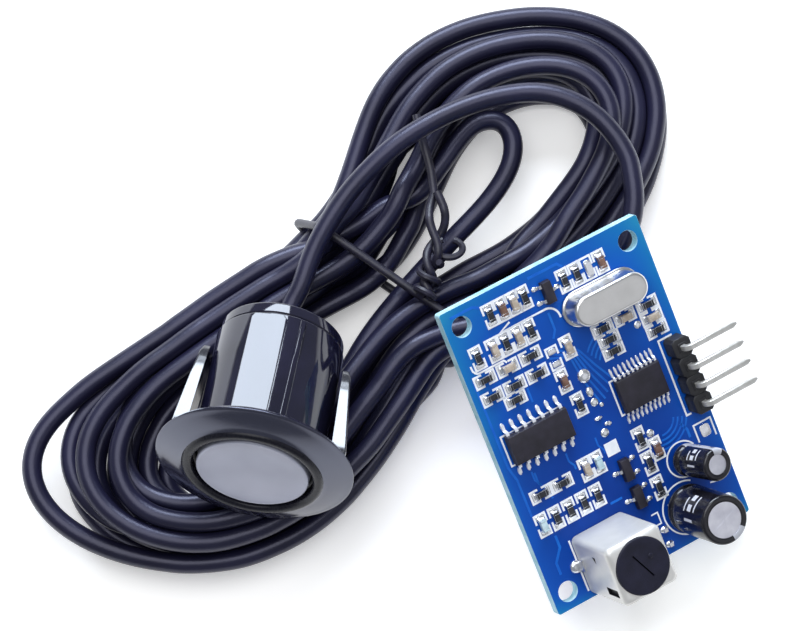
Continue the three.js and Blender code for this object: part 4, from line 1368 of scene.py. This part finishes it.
def make_ink():
    """Everything printed on the component side in white: outlines only, with no lettering."""
    bm = bmesh.new()
    bracket = [
        (INK_GAP, INK_HALF_WIDTH), (INK_HALF_LENGTH, INK_HALF_WIDTH), (INK_HALF_LENGTH, -INK_HALF_WIDTH),
        (INK_GAP, -INK_HALF_WIDTH),
    ]
    # Each box is two brackets, open at the middle of the part.
    for right, down, lie in [part[:3] for part in SMALL_PARTS] + BARE_BOXES:
        x, y = spot(right, down)
        for side in (-1, 1):
            corners = [laid(lie, side * u, v) for u, v in bracket]
            ribbon(bm, [(x + u, y + v) for u, v in corners], INK_WIDTH, SILK_LOW, SILK_HIGH)
    for width, corners in INK_LINES:
        ribbon(bm, on_board(corners), width, SILK_LOW, SILK_HIGH)
    # A solid square between the two lower chips.
    x, y = spot(14.46, 25.1)
    block(bm, (x - 0.9, y - 0.875, SILK_LOW), (x + 0.9, y + 0.875, SILK_HIGH))
    piece("white_ink", bm, BOARD, SILK, smooth=False)


# Pads: the place of each, its size and its height.
PADS = [
    (20.06, 3.3, 0.9, 2.2, 0.34), (11.75, 10.55, 1.1, 0.72, 0.12), (11.75, 12.2, 1.1, 0.72, 0.12),
    (26.8, 28.8, 1.4, 1.6, 0.1),
]
# Mounds: the place of each, its radius, its height and how far it's drawn out along the board.
MOUNDS = [
    (23.46, 12.6, 0.52, 0.208, 1), (19.85, 25.75, 0.55, 0.22, 1), (15.3, 19.5, 0.3, 0.12, 1),
    (15.35, 22.1, 0.3, 0.12, 1), (19.9, 5.2, 0.3, 0.12, 1), (14.4, 17.35, 0.52, 0.35, 1.35),
    (14.5, 18.8, 0.55, 0.2, 1.0), (14.2, 20.85, 0.6, 0.28, 0.45), (14.3, 22.9, 0.62, 0.3, 0.95),
    (15.0, 21.95, 0.36, 0.2, 0.7),
]
CAN_LUGS = [(4.35, 36.4), (13.35, 37.0)]
SOCKET_PINS = [(16.9, 37.7), (16.9, 39.7)]


def pad(bm, right, down, wide, tall, high):
    """A tinned pad: a low cushion of solder with rounded corners."""
    x, y = spot(right, down)
    outline = rounded_outline(
        x - wide / 2, y - tall / 2, x + wide / 2, y + tall / 2, min(wide, tall) * 0.3, 4
    )
    prism(bm, outline, 0.005, high, min(0.06, high * 0.8))


def make_joints():
    """Solder on the component side that isn't part of a component."""
    bm = bmesh.new()
    for right, down, lie, *_ in SMALL_PARTS:
        for side in (-1, 1):
            if lie == LYING:
                pad(bm, right + side, down, 0.62, 1.16, 0.06)
            else:
                pad(bm, right, down + side, 1.16, 0.62, 0.06)
    for place in PADS:
        pad(bm, *place)
    dome(bm, *spot(14.46, 15.17), 0.0, 0.95, 0.55, sides=24)
    for right, down, radius, high, stretch in MOUNDS:
        dome(bm, *spot(right, down), 0.0, radius, high, stretch=stretch)
    for x, y in on_board(SOCKET_PINS):
        dome(bm, x, y, 0.0, 0.62, 0.3, stretch=0.72)
        block(bm, (x - 0.22, y - 0.22, 0.1), (x + 0.22, y + 0.22, 0.62), 0.08)
    for x, y in on_board(CAN_LUGS):
        dome(bm, x, y, 0.0, 0.85, 0.5)
    piece("solder_joints", bm, BOARD, SOLDER)


LEAD_THICK = 0.17


def gull_lead(bm, x, y_out, y_body, high, wide):
    """One gull-wing lead, from its foot on the board up into the package's side."""
    run = y_body - y_out
    foot = LEAD_THICK / 2 + 0.03
    route = [(0.0, foot), (0.42, foot), (0.56, LEAD_THICK / 2 + 0.10), (0.68, high - 0.08), (0.80, high)]
    points = [(x, y_out + run * part, z) for part, z in route]
    points.append((x, y_body + math.copysign(0.25, run), high))
    bar(bm, points, wide, LEAD_THICK, (1, 0, 0), 1)
    # A heel and toe of solder hold the foot.
    dome(bm, x, y_out + run * 0.18, 0.0, wide * 0.62, 0.10, 1, 10, 0.62 * abs(run) / wide)


def make_package(name, node, right, down, length, width, low, high, leads, pitch, span, lead_wide):
    """A dual row package with its mould's draft, its split line and its orientation dimple."""
    x, y = spot(right, down)
    x0, y0, x1, y1 = x - length / 2, y - width / 2, x + length / 2, y + width / 2
    middle = (low + high) / 2
    draft = 0.13
    bm = bmesh.new()
    block(bm, (x0, y0, middle), (x1, y1, high), 0.07, 2, 0, draft)
    block(bm, (x0 + draft, y0 + draft, low), (x1 - draft, y1 - draft, middle + 0.01), 0.05, 1)
    dimple = [(0.34, high + 0.001), (0.34 * 0.85, high + 0.016), (0.34 * 0.6, high + 0.004)]
    bridge(bm, rings_round(x0 + 0.85, y0 + 0.85, dimple, 20))
    for k in range(leads):
        along = x + (k - (leads - 1) / 2) * pitch
        for side in (-1, 1):
            gull_lead(bm, along, y + side * span / 2, y + side * (width / 2 - 0.05), middle, lead_wide)
    piece(name, bm, BOARD, [CHIP, BRIGHT_TIN], replaces=(node,))


def make_transistor(number, right, down, single_side):
    """A three-legged package standing along the board, two legs on one side and one on the other."""
    x, y = spot(right, down)
    bm = bmesh.new()
    block(bm, (x - 0.68, y - 1.48, 0.12), (x + 0.68, y + 1.48, 1.02), 0.08, 2, 0, 0.1)
    for side, along in ((single_side, 0.0), (-single_side, 0.95), (-single_side, -0.95)):
        leg = [(1.42, 0.12), (1.05, 0.12), (0.9, 0.45), (0.5, 0.56)]
        bar(bm, [(x + side * out, y + along, z) for out, z in leg], 0.44, 0.14, (0, 1, 0), 1)
        dome(bm, x + side * 1.42, y + along, 0.0, 0.46, 0.26, 1, 14, 0.72)
    name, node = "transistor_case_" + str(number), "transistor_" + str(number)
    piece(name, bm, BOARD, [CHIP, SOLDER], replaces=(node,))


def racetrack(centre, length, width):
    """An outline with straight long sides and round ends."""
    x, y = centre
    half, radius = (length - width) / 2, width / 2
    return arc((x + half, y), radius, -90, 90, 14) + arc((x - half, y), radius, 90, 270, 14)


CRYSTAL_LENGTH = 10.9
CRYSTAL_WIDTH = 4.5


def make_crystal():
    """A low drawn can welded to its base plate, with a rolled rim and a rounded top edge."""
    centre = spot(20.2, 7.2)
    # How much wider than the can's foot each ring is, and its height.
    profile = [
        (0, 0.1), (0.02, 0.14), (0.02, 0.42), (-0.06, 0.5), (-0.22, 0.55), (-0.26, 0.7), (-0.28, 1.4),
        (-0.28, 2.4), (-0.29, 3.1),
    ]
    for turn in (15, 35, 55, 75, 90):
        t = math.radians(turn)
        profile.append((-0.29 - 0.42 * (1 - math.cos(t)), 3.1 + 0.42 * math.sin(t)))
    profile.append((-1.3, 3.535))
    bm = bmesh.new()
    bridge(bm, [
        [(u, v, z) for u, v in racetrack(centre, CRYSTAL_LENGTH + 2 * grow, CRYSTAL_WIDTH + 2 * grow)]
        for grow, z in profile
    ])
    piece("crystal_case", bm, BOARD, NICKEL, replaces=("crystal_can", "crystal_base"))


def make_electrolytic(name, right, down, radius, high, lean, start, top_radius):
    """A radial electrolytic: rubber bung, crimped can in a shrunk sleeve, and a bare scored top."""
    x, y = spot(right, down)
    matrix = BOARD @ Matrix.Translation((x, y, 0)) @ Matrix.Rotation(math.radians(lean), 4, "Y")
    profile = [(0.0, 0.25)]
    # The bung and the crimp above it, as how far each lies inside the can.
    profile += [(radius - inside, z) for inside, z in (
        (0.55, 0.25), (0.3, 0.4), (0.12, 0.55), (0, 0.85), (0, 1.25), (0.1, 1.45), (0.26, 1.62),
        (0.26, 1.78), (0.08, 1.95), (0, 2.2), (0, high * 0.5), (0, high - 0.5),
    )]
    rim = np.linspace(0.25, math.pi / 2, 6)
    profile += [(radius - 0.36 + 0.36 * math.cos(t), high - 0.38 + 0.38 * math.sin(t)) for t in rim]
    profile += [
        (top_radius + 0.12, high - 0.01), (top_radius, high - 0.05), (top_radius - 0.03, high - 0.16)
    ]
    bm = bmesh.new()
    lathe(bm, profile + [(0.0, high - 0.17)], 56)
    sleeve = make_sleeve(name + "_sleeve", high, start)
    piece(
        name + "_sleeve", bm, matrix, sleeve, replaces=(name + "_can", name + "_bung"),
    )
    bm = bmesh.new()
    lathe(bm, [
        (0.0, high - 0.165), (top_radius - 0.06, high - 0.165), (top_radius - 0.05, high - 0.13),
        (top_radius * 0.8, high - 0.115), (0.0, high - 0.11),
    ], 48)
    # The vent is scored across the top.
    for turn in (20, 80, 140):
        t = math.radians(turn)
        a = Vector((math.cos(t), math.sin(t))) * top_radius * 0.8
        ribbon(bm, [-a, a], 0.05, high - 0.118, high - 0.1)
    piece(name + "_top", bm, matrix, ALUMINIUM)


CAN_CENTRE = (8.85, 36.7)
CAN_HALF = 3.9
CAN_HIGH = 9.8
CAN_CORNER = 0.75
CAN_FRAME = BOARD @ Matrix.Translation((*spot(*CAN_CENTRE), 0))


def can_ring(inset, z):
    side = CAN_HALF - inset
    return [(u, v, z) for u, v in rounded_outline(-side, -side, side, side, CAN_CORNER, 8)]


def make_transformer():
    """The tuned transformer's screening can: drawn from sheet, with soft edges, a slot and a notch."""
    half, high = CAN_HALF, CAN_HIGH
    profile = [(0.0, 0.15), (0.0, 0.6), (0.0, 4.0), (0.0, high - 1.0)]
    for turn in (15, 30, 50, 70, 90):
        t = math.radians(turn)
        profile.append((0.7 * (1 - math.cos(t)), high - CAN_CORNER + CAN_CORNER * math.sin(t)))
    bm = bmesh.new()
    bridge(bm, [can_ring(inset, z) for inset, z in profile])
    can = piece(
        "tuning_can", bm, CAN_FRAME, [DRAWN_STEEL, HEADER_AND_PAINTED_SHADE],
        replaces=("transformer_can", "transformer_base"),
    )
    bore = bmesh.new()
    lathe(bore, [(0.0, high - 2.7), (3.64, high - 2.7), (3.64, high + 1.0), (0.0, high + 1.0)], 64)
    # A slot and a small triangular notch are punched in its left side.
    out, inside = -half - 0.5, -half + 0.4
    slot_cut = bmesh.new()
    block(slot_cut, (out, -half + 1.25, high - 3.9), (inside, -half + 2.25, high - 0.95))
    notch = bmesh.new()
    bridge(notch, [[(u, v, z) for v, z in ((1.35, 5.5), (2.25, 4.9), (2.25, 5.7))] for u in (out, inside)])
    carve(can, [bore, slot_cut, notch])
    # Painted shade: the walls and floors of these shallow openings wear the header's black, standing in for
    # the shaded inside of the can.
    for polygon in can.data.polygons:
        x, y, z = polygon.center
        if -half + 0.02 < x < inside + 0.05 and 4.5 < z < high - 0.9 and abs(y) < half - 0.8:
            polygon.material_index = 1
    shade_smooth(can.data)
    bm = bmesh.new()
    for side in (-1, 1):
        lug = [(0.02, 1.3), (0.12, 0.7), (0.2, 0.3), (0.75, 0.16)]
        bar(bm, [(side * (half + reach), 0.3, z) for reach, z in lug], 1.5, 0.25, (0, 1, 0))
    piece("can_lugs", bm, CAN_FRAME, TIN)


def make_core():
    """The threaded ferrite core: a dished disc with a screwdriver slot and a moulding pip."""
    high = CAN_HIGH
    profile = [(0.0, high - 2.3), (3.05, high - 2.3)]
    for k in range(5):
        profile += [(3.05, high - 2.2 + 0.3 * k), (3.18, high - 2.05 + 0.3 * k)]
    profile += [(3.1, high - 0.7), (3.58, high - 0.62), (3.6, high + 0.02)]
    profile += arc((3.44, high + 0.02), 0.16, 0, 90, 4) + [(2.6, high + 0.12), (0.0, high + 0.10)]
    bm = bmesh.new()
    lathe(bm, profile, 72)
    core = piece(
        "core_disc", bm, CAN_FRAME, FERRITE, body="core", replaces=("tuning_core",)
    )
    cut = bmesh.new()
    block(cut, (-1.95, -0.11, high - 0.65), (1.95, 0.11, high + 0.6))
    turn = Matrix.Rotation(math.radians(-64), 3, "Z")
    bmesh.ops.rotate(cut, cent=(0, 0, 0), matrix=turn, verts=cut.verts)
    carve(core, [cut])
    shade_smooth(core.data)
    bm = bmesh.new()
    dome(bm, 1.35, 0.75, high + 0.10, 0.36, 0.12, sides=20)
    piece("core_pip", bm, CAN_FRAME, FERRITE, body="core")


HEADER_RIGHT = 26.95
HEADER_MIDDLE = 20.9
HEADER_DOWN = [HEADER_MIDDLE + (k - 1.5) * 2.54 for k in range(4)]
PIN_END = 34.2
PIN_RISE = 3.7
PIN_BEND = 0.75
PIN_HALF = 0.35


def nearest_pin(y):
    """The CAD pin in the same row as this one."""
    place = BOARD @ Vector((0, y, 0))
    names = ["header_pin_" + str(k) for k in range(1, 5)]
    along = (BOARD.to_3x3() @ Vector((0, 1, 0))).normalized()
    return min(names, key=lambda name: abs((box_centre(name) - place).dot(along)))


def make_header():
    """A four-way right-angle header: notched body, square pins bent over it, pointed at the end."""
    bm = bmesh.new()
    for down in HEADER_DOWN:
        x, y = spot(HEADER_RIGHT, down)
        # An octagon, with its long sides drawn in by a hair from its neighbours.
        corner = [(1.27, 0.85), (0.85, 1.25)]
        quadrants = [(-1, -1, corner), (1, -1, corner[::-1]), (1, 1, corner), (-1, 1, corner[::-1])]
        outline = [(x + a * u, y + b * v) for a, b, corners in quadrants for u, v in corners]
        prism(bm, outline, 0.1, 2.5, 0.14)
        # The pin comes out through a raised collar.
        prism(bm, rounded_outline(x - 0.62, y - 0.62, x + 0.62, y + 0.62, 0.2, 4), 2.4, 2.62, 0.08)
    x, y = spot(HEADER_RIGHT, HEADER_MIDDLE)
    block(bm, (x - 0.78, y - 5.0, 0.12), (x + 0.78, y + 5.0, 2.42), 0.05)
    piece("header_moulding", bm, BOARD, HEADER_AND_PAINTED_SHADE, replaces=("header_body",))
    for number, down in enumerate(HEADER_DOWN, 1):
        x, y = spot(HEADER_RIGHT, down)
        end = spot(PIN_END, down)[0]
        bend = arc((x + PIN_BEND, PIN_RISE - PIN_BEND), PIN_BEND, 180, 90, 7)
        route = [(x, -3.0, 0.16), (x, -2.6, PIN_HALF)] + [(u, z, PIN_HALF) for u, z in bend]
        route += [(end - 0.6, PIN_RISE, PIN_HALF), (end, PIN_RISE, 0.14)]
        rings = []
        for k, (u, z, size) in enumerate(route):
            a = Vector(route[max(k - 1, 0)][:2])
            b = Vector(route[min(k + 1, len(route) - 1)][:2])
            tangent = (b - a).normalized()
            n = Vector((-tangent.y, tangent.x)) * size
            side = [(1, -0.78 * size), (0.78, -size), (-0.78, -size), (-1, -0.78 * size)]
            side += [(s, -v) for s, v in side[::-1]]
            rings.append([(u + n.x * s, y + v, z + n.y * s) for s, v in side])
        bm = bmesh.new()
        bridge(bm, rings)
        name = "header_lead_" + str(number)
        piece(name, bm, BOARD, PIN, replaces=(nearest_pin(y),))


# What comes through the board: header, crystal, capacitors and can.
THROUGH = [(HEADER_RIGHT, down) for down in HEADER_DOWN]
THROUGH += [(17.75, 7.2), (22.65, 7.2), (21.7, 30.8), (23.7, 30.8), (19.6, 36.6), (22.1, 36.6)]
THROUGH += [(CAN_CENTRE[0] + across, CAN_CENTRE[1] - 2.6) for across in (-2.5, 0, 2.5)] + [(6.35, 39.6)]


def make_underside():
    """Solder cones and clipped leads on the far side, under everything that goes through the board."""
    bm = bmesh.new()
    cone = [(0.85, 0.0), (0.8, 0.1), (0.52, 0.34), (0.33, 0.62), (0.3, 0.95), (0.26, 1.1)]
    for x, y in on_board(THROUGH):
        bridge(bm, rings_round(x, y, [(r, -BOARD_THICKNESS - z) for r, z in cone], 16))
    piece("underside_joints", bm, BOARD, SOLDER)


make_laminate()
make_copper()
make_small_parts()
make_ink()
make_joints()
make_package(
    "amplifier_package", "amplifier_ic", right=6.06, down=19.1, length=8.65, width=3.9, low=0.12, high=1.5,
    leads=7, pitch=1.27, span=6.5, lead_wide=0.44,
)
make_package(
    "controller_package", "controller_ic", right=20.77, down=19.7, length=6.5, width=4.4, low=0.1, high=1.1,
    leads=10, pitch=0.65, span=7.0, lead_wide=0.28,
)
make_transistor(1, right=13.98, down=3.5, single_side=1)
make_transistor(2, right=15.0, down=28.3, single_side=-1)
make_transistor(3, right=15.2, down=32.2, single_side=-1)
make_crystal()
make_electrolytic(
    "large_capacitor", right=20.85, down=36.6, radius=3.1, high=10.0, lean=0, start=-1.1, top_radius=2.3,
)
make_electrolytic(
    "small_capacitor", right=22.7, down=30.8, radius=2.05, high=7.6, lean=7, start=1.2, top_radius=1.3,
)
make_transformer()
make_core()
make_header()
make_underside()

# ---------------------------------------------------------------- CAD pieces that keep their own shape

# The looks of each: its material's name and the rest of what plain() or make_metal() take.
CARRIED_PLAIN = {
    "isolation_ring": (
        "ring_rubber", (0.008, 0.008, 0.01), (0.02, 0.02, 0.024), 0.8, 8.0, 0.02, (0.5, 0.7)
    ),
    "piezo_disc": ("piezo_ceramic", (0.55, 0.49, 0.36), (0.68, 0.61, 0.46), 0.9, 12.0, 0.01, (0.5, 0.7)),
    "damper_pad": ("felt_pad", (0.26, 0.18, 0.10), (0.38, 0.28, 0.17), 1.5, 6.0, 0.08, (0.85, 0.95)),
    "potting_plug": ("potting_silicone", (0.6, 0.61, 0.6), (0.74, 0.75, 0.73), 0.7, 5.0, 0.03, (0.35, 0.5)),
    "core_wire_signal": ("inner_wire_red", *WIRE_LOOKS["red"]),
    "core_wire_return": ("inner_wire_white", *WIRE_LOOKS["white"]),
    "transformer_bobbin": (
        "bobbin_nylon", (0.62, 0.6, 0.54), (0.78, 0.76, 0.7), 1.0, 9.0, 0.02, (0.45, 0.6)
    ),
    "probe_socket": ("socket_nylon", (0.66, 0.64, 0.57), (0.82, 0.8, 0.73), 0.9, 9.0, 0.02, (0.35, 0.5)),
    "cable_plug": ("plug_nylon", (0.68, 0.66, 0.6), (0.84, 0.82, 0.76), 0.9, 9.0, 0.02, (0.35, 0.5)),
}
CARRIED_METAL = {
    "transformer_winding": ("enamelled_copper", (0.35, 0.13, 0.05), (0.55, 0.23, 0.1), (0.25, 0.4)),
    "socket_pin_1": ("socket_pin", (0.62, 0.62, 0.64), (0.84, 0.84, 0.86), (0.2, 0.35)),
    "chip_top_right_3": ("chip_solder", (0.70, 0.72, 0.76), (0.92, 0.93, 0.96), (0.15, 0.32)),
}
MM_PER_METRE = 1000
CARRIED = {node: plain(*looks, unit=MM_PER_METRE) for node, looks in CARRIED_PLAIN.items()}
CARRIED.update({node: make_metal(*looks, unit=MM_PER_METRE) for node, looks in CARRIED_METAL.items()})
CARRIED["socket_pin_2"] = CARRIED["socket_pin_1"]
for node, material in CARRIED.items():
    wearer = bpy.data.objects[node]
    wearer.data.materials.clear()
    wearer.data.materials.append(material)
